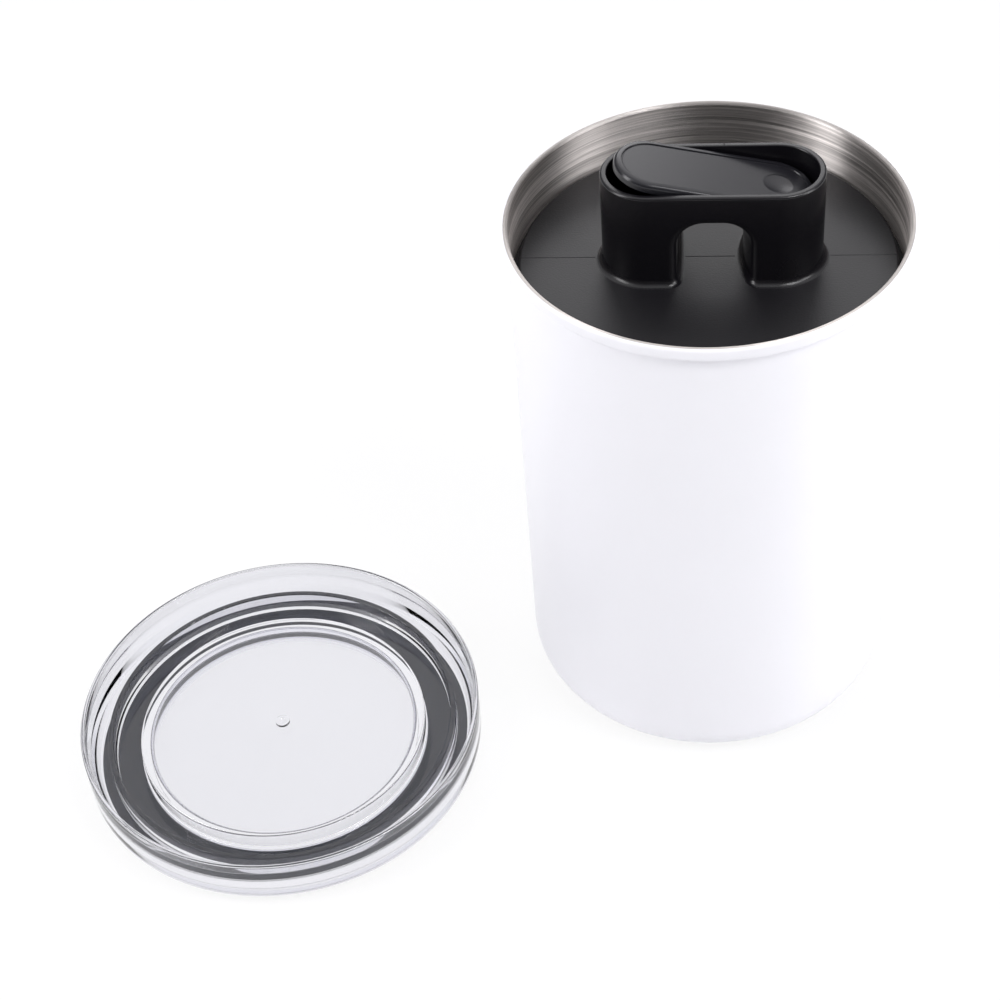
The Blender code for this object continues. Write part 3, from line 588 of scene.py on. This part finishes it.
class CANISTER_OT_shell(bpy.types.Operator):
    """Build the coated steel shell with its rolled lip."""

    bl_idname = "canister.shell"
    bl_label = "Steel shell"

    def execute(self, context):
        settings = context.scene.canister_shell
        low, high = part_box("canister_body")
        lip = settings.lip_width / 2
        wall = settings.wall
        foot = settings.foot_round
        bead = high.x - lip
        bore = high.x - settings.lip_width
        radius = bore + wall
        tuck = -math.degrees(math.acos((radius - bead) / lip))
        outline = [(0, 0)]
        outline += arc(radius - foot, foot, foot, -90, 0, 20)
        outline += arc(bead, high.z - settings.lip_height + lip, lip, tuck, 0, 10)
        outline += arc(bead, high.z - lip, lip, 0, 180, 20)
        outline += arc(radius - foot, foot, foot - wall, 0, -90, 20)
        outline += [(0, wall)]
        coat = powder_coated_steel(settings)
        steel = brushed_stainless_steel(settings)
        shell = turned("canister_shell", outline, (0, 0, low.z), coat, steel)
        # The coat is wiped off the bore and the crest of the lip, where a thin line of steel
        # shows all round, and the floor inside is bare too.
        for face in shell.data.polygons:
            lean = face.normal.xy.dot(face.center.xy.normalized())
            crest = face.center.z > high.z - settings.lip_height
            wiped = lean < (CREST_LEAN if crest else 0) and face.normal.z > -0.5
            floor = face.normal.z > 0.5 and face.center.z < foot
            face.material_index = int(wiped or floor)
        stand_for(shell, "canister", "canister_body")
        return {"FINISHED"}


# Plunger: the grain of its two finishes, the stem's sleeve and the lever's sockets. The disc's
# grain is drawn at 0.6 mm, about twice the real one, so that it shows.
DISC_ROUGHNESS = 0.43
DISC_GRAIN = 0.6 * MM
DISC_GRAIN_STRENGTH = 1.0
HANDLE_ROUGHNESS = 0.26
SATIN_GRAIN = 0.3 * MM
SATIN_GRAIN_STRENGTH = 0.06
DISC_EDGE_ROUND = 0.9 * MM
DISC_UNDERSIDE_ROUND = 0.3 * MM
NICK_OFFSET = 3.4 * MM
SLEEVE_RADIUS = 3.2 * MM
SLEEVE_HEIGHT = 6 * MM
STEM_BORE_RADIUS = 2.3 * MM
SOCKET_DEPTH = 1.3 * MM
SATIN_START = 0.05 * MM


class CANISTER_OT_plunger(bpy.types.Operator):
    """Build the plunger moulding: disc, skirt and the hollow handle with its arch."""

    bl_idname = "canister.plunger"
    bl_label = "Plunger and handle"

    def execute(self, context):
        plunger = context.scene.canister_plunger
        low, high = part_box("plunger_body")
        pivot = joint_place("lever_hinge")
        valve = valve_centre()
        top = high.z - plunger.handle_height
        grained = moulded_plastic("abs_moulded_fine_grain_black", plunger.plastic_colour,
                                  DISC_ROUGHNESS, DISC_GRAIN, DISC_GRAIN_STRENGTH)
        satin = moulded_plastic("abs_moulded_satin_black", plunger.plastic_colour,
                                HANDLE_ROUGHNESS, SATIN_GRAIN, SATIN_GRAIN_STRENGTH)
        skirt = high.x - plunger.skirt_inset
        inner = skirt - plunger.skirt_wall
        thick = plunger.disc_thickness
        outline = rounded([(0, 0, 0), (high.x, 0, DISC_EDGE_ROUND),
                           (high.x, -thick, DISC_UNDERSIDE_ROUND), (skirt, -thick, 0),
                           (skirt, low.z - top, FINE_ROUND), (inner, low.z - top, FINE_ROUND),
                           (inner, -thick, 0), (0, -thick, 0)])
        cover = turned("plunger_cover", outline, (0, 0, top), grained, satin)
        # The mould's two halves meet along the handle and leave a fine line in the disc.
        reach = high.x + CUT_OVERRUN
        carve(cover, groove("seam", plunger.seam_width, -reach, reach, (0, 0, top)))
        handle = hollow_handle(plunger, Vector((pivot.x, pivot.y, top)), grained)
        # The gate's cut leaves a short nick across the rear of the rim.
        nick = groove("nick", plunger.seam_width, -plunger.handle_wall, plunger.handle_wall,
                      (0, 0, 0))
        nick_place = (pivot.x + NICK_OFFSET, plunger.handle_half_width, high.z)
        nick.data.transform(Matrix.Translation(nick_place) @ Matrix.Rotation(math.pi / 2, 4, "Z"))
        carve(handle, nick)
        carve(cover, handle, "UNION")

        place = (valve.x, valve.y, top)
        outline = rounded([(0, -thick / 2, 0), (SLEEVE_RADIUS, -thick / 2, 0),
                           (SLEEVE_RADIUS, SLEEVE_HEIGHT, FINE_ROUND), (0, SLEEVE_HEIGHT, 0)])
        carve(cover, turned("sleeve", outline, place, steps=SMALL_ROUND_STEPS), "UNION")
        carve(cover, drill("bore", STEM_BORE_RADIUS, -thick - CUT_OVERRUN,
                           SLEEVE_HEIGHT + CUT_OVERRUN, place))
        socket = plunger.pivot_radius + TOUCH_GAP
        reach = plunger.handle_half_width - plunger.handle_wall + SOCKET_DEPTH
        sockets = drill("sockets", socket, -reach, reach, (0, 0, 0))
        sockets.data.transform(Matrix.Translation(pivot) @ Matrix.Rotation(math.pi / 2, 4, "X"))
        carve(cover, sockets)
        # The disc is finely grained, and the handle is smoother from its foot up.
        for face in cover.data.polygons:
            face.material_index = int(face.center.z > top + SATIN_START)
        even_normals(cover)
        stand_for(cover, "plunger", "plunger_body")
        return {"FINISHED"}


# Lever: its border, hollow underside, pad, lugs and thumb dimple. The border's inner side is
# given as (inset, drop) from its outer edge and its top: a crest, a step and a fine line.
LEVER_ROUGHNESS = 0.24
BORDER_ROUND = 1.5 * MM
BORDER_ROUND_END = 72
BORDER_PROFILE = ((1.86 * MM, 0), (2.15 * MM, 0.02 * MM), (2.3 * MM, 0.4 * MM),
                  (2.5 * MM, 0.4 * MM), (2.6 * MM, 0.3 * MM))
PANEL_DROP = 0.3 * MM
LEVER_WALL = 1.4 * MM
LEVER_PLATE = 1.6 * MM
PAD_HALF_WIDTH = 3 * MM
PAD_DROP = 0.5 * MM
PAD_CHAMFER = 0.2 * MM
PAD_ROOT = 0.5 * MM
LUG_RADIUS = 2.6 * MM
LUG_INSET = 0.05 * MM
DIMPLE_STEP = 0.15 * MM
DIMPLE_DEPTH = 0.4 * MM
DIMPLE_END_DISTANCE = 11 * MM
STUB_LENGTH = 1 * MM


class CANISTER_OT_lever(bpy.types.Operator):
    """Build the rocker lever with its raised border and thumb dimple."""

    bl_idname = "canister.lever"
    bl_label = "Rocker lever"

    open_angle: angle_property("Open angle", "Tip of the lever in the rest pose", 12)
    half_length: size_property("Half length", "Half the lever, end to end", 30)
    half_width: size_property("Half width", "Half the lever, front to rear", 11.6)
    top: size_property("Top", "Border over the pivot", 3.2)
    depth: size_property("Depth", "Depth of the lever's rim", 3)
    dimple_radius: size_property("Dimple radius", "Radius of the thumb dimple", 4.5)

    def execute(self, context):
        plunger = context.scene.canister_plunger
        pivot = joint_place("lever_hinge")
        plastic = moulded_plastic("abs_moulded_satin_grey_black", plunger.lever_colour,
                                  LEVER_ROUGHNESS, SATIN_GRAIN, SATIN_GRAIN_STRENGTH)
        bottom = self.top - self.depth
        panel = self.top - PANEL_DROP
        sections = [(-FINE_ROUND, bottom), (0, bottom + FINE_ROUND)]
        sections += arc(-BORDER_ROUND, self.top - BORDER_ROUND, BORDER_ROUND,
                        0, BORDER_ROUND_END, 10)
        sections += [(-inset, self.top - drop) for inset, drop in BORDER_PROFILE]
        lever = obround("lever_plate", self.half_length, self.half_width, sections, (0, 0, 0),
                        plastic)

        roof = self.top - LEVER_PLATE
        carve(lever, obround("hollow", self.half_length - LEVER_WALL, self.half_width - LEVER_WALL,
                             ((0, bottom - CUT_OVERRUN), (0, roof)), (0, 0, 0)))
        # A square pad under the thumb end presses the valve's cap, and a lug backs each stub.
        stem = valve_centre().x - pivot.x
        sections = [(PAD_HALF_WIDTH - PAD_CHAMFER, -PAD_DROP),
                    (PAD_HALF_WIDTH, PAD_CHAMFER - PAD_DROP), (PAD_HALF_WIDTH, roof + PAD_ROOT)]
        rings = [[(stem + x * size, y * size, up) for x, y in ((-1, -1), (1, -1), (1, 1), (-1, 1))]
                 for size, up in sections]
        carve(lever, lofted("pad", rings, (0, 0, 0)), "UNION")
        outer = self.half_width - LUG_INSET
        for side in (-1, 1):
            lug = drill("lug", LUG_RADIUS, outer - LEVER_WALL, outer, (0, 0, 0))
            lug.data.transform(Matrix.Rotation(side * math.pi / 2, 4, "X"))
            carve(lever, lug, "UNION")

        bowl = (self.dimple_radius ** 2 + DIMPLE_DEPTH ** 2) / (2 * DIMPLE_DEPTH)
        edge = math.degrees(math.asin(self.dimple_radius / bowl))
        centre = panel - DIMPLE_STEP - DIMPLE_DEPTH + bowl
        outline = arc(0, centre, bowl, -90, -90 + edge, 12)
        outline += [(self.dimple_radius, self.top + CUT_OVERRUN), (0, self.top + CUT_OVERRUN)]
        place = (self.half_length - DIMPLE_END_DISTANCE, 0, 0)
        carve(lever, turned("dish", outline, place, steps=SMALL_ROUND_STEPS))

        stub = plunger.handle_half_width - plunger.handle_wall + STUB_LENGTH
        pin = plunger.pivot_radius
        outline = rounded([(0, -stub, 0), (pin, -stub, FINE_ROUND), (pin, stub, FINE_ROUND),
                           (0, stub, 0)])
        axle = turned("axle", outline, (0, 0, 0), steps=SMALL_ROUND_STEPS)
        axle.data.transform(Matrix.Rotation(math.pi / 2, 4, "X"))
        carve(lever, axle, "UNION")

        lever.data.transform(Matrix.Translation(pivot) @ Matrix.Rotation(self.open_angle, 4, "Y"))
        even_normals(lever)
        stand_for(lever, "lever", "lever")
        return {"FINISHED"}


# Underside: the wiper's sleeve and fins, and the base plate with its spigot, recess and port.
# The shares say how far down the sleeve each fin stands.
WIPER_SLEEVE = 1 * MM
FIN_SHARES = (0.22, 0.78)
FIN_RISE = 0.9 * MM
FIN_ROOT_ROUND = 0.4 * MM
FIN_TIP_ROUND = 0.3 * MM
BASE_PLATE = 2.2 * MM
BASE_EDGE_ROUND = 0.8 * MM
SPIGOT_WALL = 1.5 * MM
SPIGOT_ROUND = 0.3 * MM
SPIGOT_DROP = 3.2 * MM
BOSS_WALL = 2 * MM
BOSS_ROUND = 0.3 * MM
RECESS_DEPTH = 9 * MM
PORT_RADIUS = 6.2 * MM
ACETAL_ROUGHNESS = 0.32
ACETAL_GRAIN = 0.4 * MM
ACETAL_GRAIN_STRENGTH = 0.05


class CANISTER_OT_underside(bpy.types.Operator):
    """Build the plunger's wiper and base plate, and dress the vent valve."""

    bl_idname = "canister.underside"
    bl_label = "Wiper, base and valve"

    fin_tip: size_property("Fin tip", "Thickness of a wiper fin at its tip", 0.7)
    fin_root: size_property("Fin root", "Thickness of a wiper fin at its root", 1.3)
    recess_radius: size_property("Recess radius", "Radius of the valve's recess", 9.2)

    def wiper(self, plunger, material):
        """The silicone sleeve with its two upswept fins."""
        low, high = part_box("plunger_wiper")
        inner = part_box("plunger_body")[1].x - plunger.skirt_inset + TOUCH_GAP
        outer = inner + WIPER_SLEEVE
        height = high.z - low.z
        corners = [(inner, 0, 0), (inner, height, 0), (outer, height, FINE_ROUND)]
        for share in FIN_SHARES:
            root = height * (1 - share)
            tip = root + FIN_RISE
            corners += [(outer, root + self.fin_root / 2, FIN_ROOT_ROUND),
                        (high.x, tip + self.fin_tip / 2, FIN_TIP_ROUND),
                        (high.x, tip - self.fin_tip / 2, FIN_TIP_ROUND),
                        (outer, root - self.fin_root / 2, FIN_ROOT_ROUND)]
        corners += [(outer, 0, 0)]
        wiper = turned("wiper_sleeve", rounded(corners, 4), (0, 0, low.z), material)
        stand_for(wiper, "plunger", "plunger_wiper")

    def base(self, plunger):
        """The snap-in plate with its spigot and the valve's recess."""
        low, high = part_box("plunger_base")
        plastic = bpy.data.materials["abs_moulded_satin_black"]
        height = high.z - low.z
        spigot = high.x - plunger.skirt_inset - plunger.skirt_wall - TOUCH_GAP
        spigot_top = height - SPIGOT_DROP
        inner = spigot - SPIGOT_WALL
        outline = rounded([(0, 0, 0), (high.x, 0, BASE_EDGE_ROUND),
                           (high.x, BASE_PLATE, FINE_ROUND), (spigot, BASE_PLATE, 0),
                           (spigot, spigot_top, SPIGOT_ROUND), (inner, spigot_top, SPIGOT_ROUND),
                           (inner, BASE_PLATE, 0), (0, BASE_PLATE, 0)])
        base = turned("plunger_base_plate", outline, (0, 0, low.z), plastic)
        valve = valve_centre()
        axis = (valve.x, valve.y, low.z)
        boss = self.recess_radius + BOSS_WALL
        outline = rounded([(0, BASE_PLATE / 2, 0), (boss, BASE_PLATE / 2, 0),
                           (boss, height, BOSS_ROUND), (0, height, 0)])
        carve(base, turned("boss", outline, axis, steps=SMALL_ROUND_STEPS), "UNION")
        carve(base, drill("recess", self.recess_radius, -CUT_OVERRUN, RECESS_DEPTH, axis))
        carve(base, drill("port", PORT_RADIUS, -CUT_OVERRUN, height + CUT_OVERRUN, axis))
        even_normals(base)
        stand_for(base, "plunger", "plunger_base")

    def execute(self, context):
        plunger = context.scene.canister_plunger
        black = silicone_rubber("silicone_rubber_moulded_black", linear_colour("17171a"))
        self.wiper(plunger, black)
        self.base(plunger)
        acetal = moulded_plastic("acetal_moulded_natural", linear_colour("dcdcd6"),
                                 ACETAL_ROUGHNESS, ACETAL_GRAIN, ACETAL_GRAIN_STRENGTH)
        dress("valve_stem", acetal)
        dress("stem_cap", acetal)
        dress("valve_seal", black)
        dress("valve_spring", drawn_spring_wire())
        return {"FINISHED"}


# Lid: the rounds of its corners, the lip at the hub's foot, and the slope on the inner side of
# the outer wall, which turns the near wall bright.
HUB_INNER_ROUND = 1.5 * MM
HUB_EDGE_ROUND = 0.9 * MM
HUB_ROOT_ROUND = 0.4 * MM
HUB_UNDER_ROUND = 0.3 * MM
FOOT_LIP_WIDTH = 0.8 * MM
FOOT_LIP_HEIGHT = 0.4 * MM
SHARP_ROUND = 0.15 * MM
OUTER_CORNER = 2.4 * MM
WALL_EDGE_ROUND = 0.6 * MM
SLOPE_HEIGHT = 9.6 * MM
SLOPE_TOP_ROUND = 1.2 * MM
SLOPE_START = 3.7 * MM
SLOPE_FOOT_ROUND = 0.8 * MM
RING_TAPER = 0.3 * MM
RING_EDGE_ROUND = 0.4 * MM
NUB_ROOT_ROUND = 0.1 * MM
NUB_EDGE_ROUND = 0.25 * MM
NUB_DISH_ROUND = 0.3 * MM
WASHER_EDGE_ROUND = 0.4 * MM


class CANISTER_OT_lid(bpy.types.Operator):
    """Build the clear lid with its hub, locating ring and washer."""

    bl_idname = "canister.lid"
    bl_label = "Clear lid"

    plate_underside: size_property("Plate underside", "Underside of the rim plate", 3.2)
    plate_thickness: size_property("Plate thickness", "Thickness of the rim plate", 2.8)
    hub_wall: size_property("Hub wall", "Thickness of the hub's side", 3)
    hub_top: size_property("Hub top", "Thickness of the hub's roof", 2.4)
    ring_wall: size_property("Ring wall", "Thickness of the locating ring", 2.4)
    outer_wall: size_property("Outer wall", "Thickness of the lid's outer wall", 1.5)
    nub_radius: size_property("Nub radius", "Radius of the moulding nub", 2.4)
    nub_height: size_property("Nub height", "Height of the nub's rim over the hub", 0.9)

    def execute(self, context):
        settings = context.scene.canister_lid
        low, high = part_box("lid_cover")
        axis = Vector(((low.x + high.x) / 2, (low.y + high.y) / 2, low.z))
        radius = (high.x - low.x) / 2
        height = high.z - low.z
        hub = settings.hub_radius
        ring = settings.ring_radius
        under = self.plate_underside
        plate = under + self.plate_thickness
        roof = settings.hub_height - self.hub_top
        bore = hub - self.hub_wall
        wall = radius - self.outer_wall
        lip = hub + FOOT_LIP_WIDTH
        ring_inner = ring - self.ring_wall
        ring_top = settings.ring_height
        nub = self.nub_radius
        nub_top = settings.hub_height + self.nub_height
        outline = rounded([
            (0, roof, 0), (bore, roof, HUB_INNER_ROUND), (bore, 0, FINE_ROUND),
            (lip, 0, SHARP_ROUND), (lip, FOOT_LIP_HEIGHT, SHARP_ROUND), (hub, FOOT_LIP_HEIGHT, 0),
            (hub, under, HUB_UNDER_ROUND), (radius, under, OUTER_CORNER),
            (radius, height, WALL_EDGE_ROUND), (wall, height, WALL_EDGE_ROUND),
            (wall, plate + SLOPE_HEIGHT, SLOPE_TOP_ROUND),
            (ring + SLOPE_START, plate, SLOPE_FOOT_ROUND), (ring, plate, SHARP_ROUND),
            (ring - RING_TAPER, ring_top, RING_EDGE_ROUND),
            (ring_inner + RING_TAPER, ring_top, RING_EDGE_ROUND),
            (ring_inner, plate, SHARP_ROUND), (hub, plate, HUB_ROOT_ROUND),
            (hub, settings.hub_height, HUB_EDGE_ROUND), (nub, settings.hub_height, NUB_ROOT_ROUND),
            (nub, nub_top, NUB_EDGE_ROUND), (nub / 2, nub_top, NUB_DISH_ROUND),
            (0, settings.hub_height - self.nub_height / 4, 0)], 8)
        lid = turned("lid_clear", outline, axis, clear_acrylic(settings))
        stand_for(lid, "lid", "lid_cover")

        low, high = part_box("lid_gasket")
        outer = (high.x - low.x) / 2
        inner = hub + TOUCH_GAP
        middle = (inner + outer) / 2
        tall = high.z - low.z
        edge = WASHER_EDGE_ROUND
        outline = rounded([(middle, 0, 0), (outer, 0, edge), (outer, tall, edge),
                           (inner, tall, edge), (inner, 0, edge), (middle, 0, 0)])
        washer = turned("lid_washer", outline[:-1], (axis.x, axis.y, low.z),
                        silicone_rubber("silicone_rubber_moulded_grey", settings.washer_colour))
        stand_for(washer, "lid", "lid_gasket")
        return {"FINISHED"}


# Studio: each lamp's name, the setting of its power, its place, and its width and height. All
# lengths here are in metres.
LAMP_AIM = (0, 0, 0.15)
LAMPS = (
    ("key_light", "key_power", (0.95, -0.3, 0.55), (0.4, 1.0)),
    ("fill_light", "fill_power", (-0.9, -0.33, 0.62), (0.35, 1.1)),
    ("top_light", "top_power", (0.45, -0.4, 1.05), (0.34, 0.24)),
    ("rear_light", "rear_power", (-0.05, 1.3, 0.85), (0.7, 0.4)),
)
# The sky's brightness is the product of ramps along an axis: (axis, from, to, low, high). It falls
# off below, is dim in front, which keeps the steel's middle dark, and is bright behind.
SKY_RAMPS = (("Y", -0.9, 0, 0.3, 1), ("Y", 0.5, 0.8, 1, 1.9), ("Z", 0.3, 0.85, 0.08, 1.1))
FLOOR_REACH = 40
FLOOR_MOTTLE = 1 / 3
FLOOR_GLOW_SHARE = 0.86
SENSOR_WIDTH = 36
CLIP_START = 0.01
CLIP_END = 20


class CANISTER_OT_studio(bpy.types.Operator):
    """Set the pale floor, the soft lights and the camera at the photograph's angle."""

    bl_idname = "canister.studio"
    bl_label = "Studio"

    focal_length: bpy.props.FloatProperty(
        name="Focal length", description="Lens in millimetres on a 36 mm sensor",
        default=77.4, subtype="DISTANCE_CAMERA")
    aim_height: size_property("Aim height", "Height that the boom is counted from", 179.93)
    pan: angle_property("Pan", "Turn to the left", -5.5434)
    tilt: angle_property("Tilt", "Tilt further down", -7.4485)
    roll: angle_property("Roll", "Roll about the lens axis", -0.6206)
    light_colour: bpy.props.FloatVectorProperty(
        name="Light colour", description="Colour of the lamps and of the sky", size=3, min=0,
        max=2, default=(1.0, 0.993, 1.012), subtype="COLOR")

    def camera(self, context, settings):
        """A camera on a boom over the front of the canister, panned, tilted and rolled."""
        data = bpy.data.cameras.new("studio_camera")
        data.sensor_width = SENSOR_WIDTH
        data.lens = self.focal_length
        data.clip_start = CLIP_START
        data.clip_end = CLIP_END
        camera = bpy.data.objects.new("studio_camera", data)
        context.scene.collection.objects.link(camera)
        boom = Matrix.Translation((0, 0, self.aim_height))
        boom @= Matrix.Rotation(math.pi / 2 - settings.camera_elevation, 4, "X")
        boom @= Matrix.Translation((0, 0, settings.camera_distance))
        turn = Matrix.Rotation(-self.pan, 4, "Y") @ Matrix.Rotation(self.tilt, 4, "X")
        camera.matrix_world = boom @ turn @ Matrix.Rotation(self.roll, 4, "Z")
        context.scene.camera = camera

    def light(self, context, name, power, place, size):
        """A soft rectangular light that looks at the canister's upper half."""
        data = bpy.data.lights.new(name, "AREA")
        data.energy = power
        data.color = self.light_colour
        data.shape = "RECTANGLE"
        data.size, data.size_y = size
        lamp = bpy.data.objects.new(name, data)
        context.scene.collection.objects.link(lamp)
        lamp.location = place
        direction = Vector(LAMP_AIM) - Vector(place)
        lamp.rotation_euler = direction.to_track_quat("-Z", "Y").to_euler()
        lamp.visible_camera = False
        lamp.visible_transmission = False

    def floor(self, settings):
        """A wide pale floor that shows nearly white and keeps a soft shadow."""
        mesh = bmesh.new()
        bmesh.ops.create_grid(mesh, x_segments=8, y_segments=8, size=FLOOR_REACH)
        material = new_material("studio_floor_painted")
        pale = [1.01 * channel for channel in settings.floor_colour]
        tone = blend(material, noise(material, FLOOR_MOTTLE, 2), settings.floor_colour, pale)
        paint = add_node(material, "ShaderNodeBsdfDiffuse", links={"Color": tone})
        glow = add_node(material, "ShaderNodeEmission", {"Color": (1, 1, 1, 1), "Strength": 1.0})
        seen = seen_by(material, "Is Camera Ray", "Is Glossy Ray", "Is Transmission Ray")
        share = calculate(material, "MULTIPLY", seen, FLOOR_GLOW_SHARE)
        mix = add_node(material, "ShaderNodeMixShader", links={
            "Fac": share, 1: paint.outputs["BSDF"], 2: glow.outputs["Emission"]})
        add_node(material, "ShaderNodeOutputMaterial", links={"Surface": mix.outputs["Shader"]})
        floor = finish_mesh("studio_floor", mesh, material)

    def surroundings(self, context):
        """A white sky for the camera, and for light a bright top that falls off to the sides."""
        world = bpy.data.worlds.new("studio_surroundings")
        world.use_nodes = True
        world.node_tree.nodes.clear()
        place = add_node(world, "ShaderNodeTexCoord")
        split = add_node(world, "ShaderNodeSeparateXYZ",
                         links={"Vector": place.outputs["Generated"]})
        level = 1.0
        for axis, start, end, low, high in SKY_RAMPS:
            ramp = spread(world, split.outputs[axis], start, end, low, high)
            level = calculate(world, "MULTIPLY", ramp, level)
        soft = add_node(world, "ShaderNodeBackground", {"Color": rgba(self.light_colour)},
                        {"Strength": level})
        white = add_node(world, "ShaderNodeBackground", {"Color": (1, 1, 1, 1), "Strength": 1.0})
        seen = seen_by(world, "Is Camera Ray", "Is Transmission Ray")
        mix = add_node(world, "ShaderNodeMixShader", links={
            "Fac": seen, 1: soft.outputs["Background"], 2: white.outputs["Background"]})
        add_node(world, "ShaderNodeOutputWorld", links={"Surface": mix.outputs["Shader"]})
        context.scene.world = world

    def execute(self, context):
        settings = context.scene.canister_studio
        self.floor(settings)
        self.surroundings(context)
        for name, power, place, size in LAMPS:
            self.light(context, name, getattr(settings, power), place, size)
        self.camera(context, settings)
        context.scene.view_settings.view_transform = "Standard"
        return {"FINISHED"}


class CANISTER_PT_pieces(bpy.types.Panel):
    """Lists the pieces of the canister and their settings."""

    bl_label = "Coffee canister"
    bl_idname = "CANISTER_PT_pieces"
    bl_space_type = "VIEW_3D"
    bl_region_type = "UI"
    bl_category = "Canister"

    def draw(self, context):
        for operator in OPERATORS:
            self.layout.operator(operator.bl_idname)
        for name in SETTINGS:
            group = getattr(context.scene, name)
            for key in group.bl_rna.properties.keys():
                if key not in ("rna_type", "name"):
                    self.layout.prop(group, key)


SETTINGS = {
    "canister_shell": ShellSettings,
    "canister_plunger": PlungerSettings,
    "canister_lid": LidSettings,
    "canister_studio": StudioSettings,
}
OPERATORS = (CANISTER_OT_shell, CANISTER_OT_plunger, CANISTER_OT_lever, CANISTER_OT_underside,
             CANISTER_OT_lid, CANISTER_OT_studio)


def register():
    """Register the settings, the operators and the panel."""
    for name, group in SETTINGS.items():
        bpy.utils.register_class(group)
        setattr(bpy.types.Scene, name, bpy.props.PointerProperty(type=group))
    for operator in (*OPERATORS, CANISTER_PT_pieces):
        bpy.utils.register_class(operator)


def unregister():
    """Remove what register added."""
    for operator in reversed((*OPERATORS, CANISTER_PT_pieces)):
        bpy.utils.unregister_class(operator)
    for name, group in SETTINGS.items():
        delattr(bpy.types.Scene, name)
        bpy.utils.unregister_class(group)


def main():
    """Build every piece and the studio."""
    register()
    bpy.ops.canister.shell()
    bpy.ops.canister.plunger()
    bpy.ops.canister.lever()
    bpy.ops.canister.underside()
    bpy.ops.canister.lid()
    bpy.ops.canister.studio()
    bpy.context.view_layer.update()


if __name__ == "__main__":
    main()
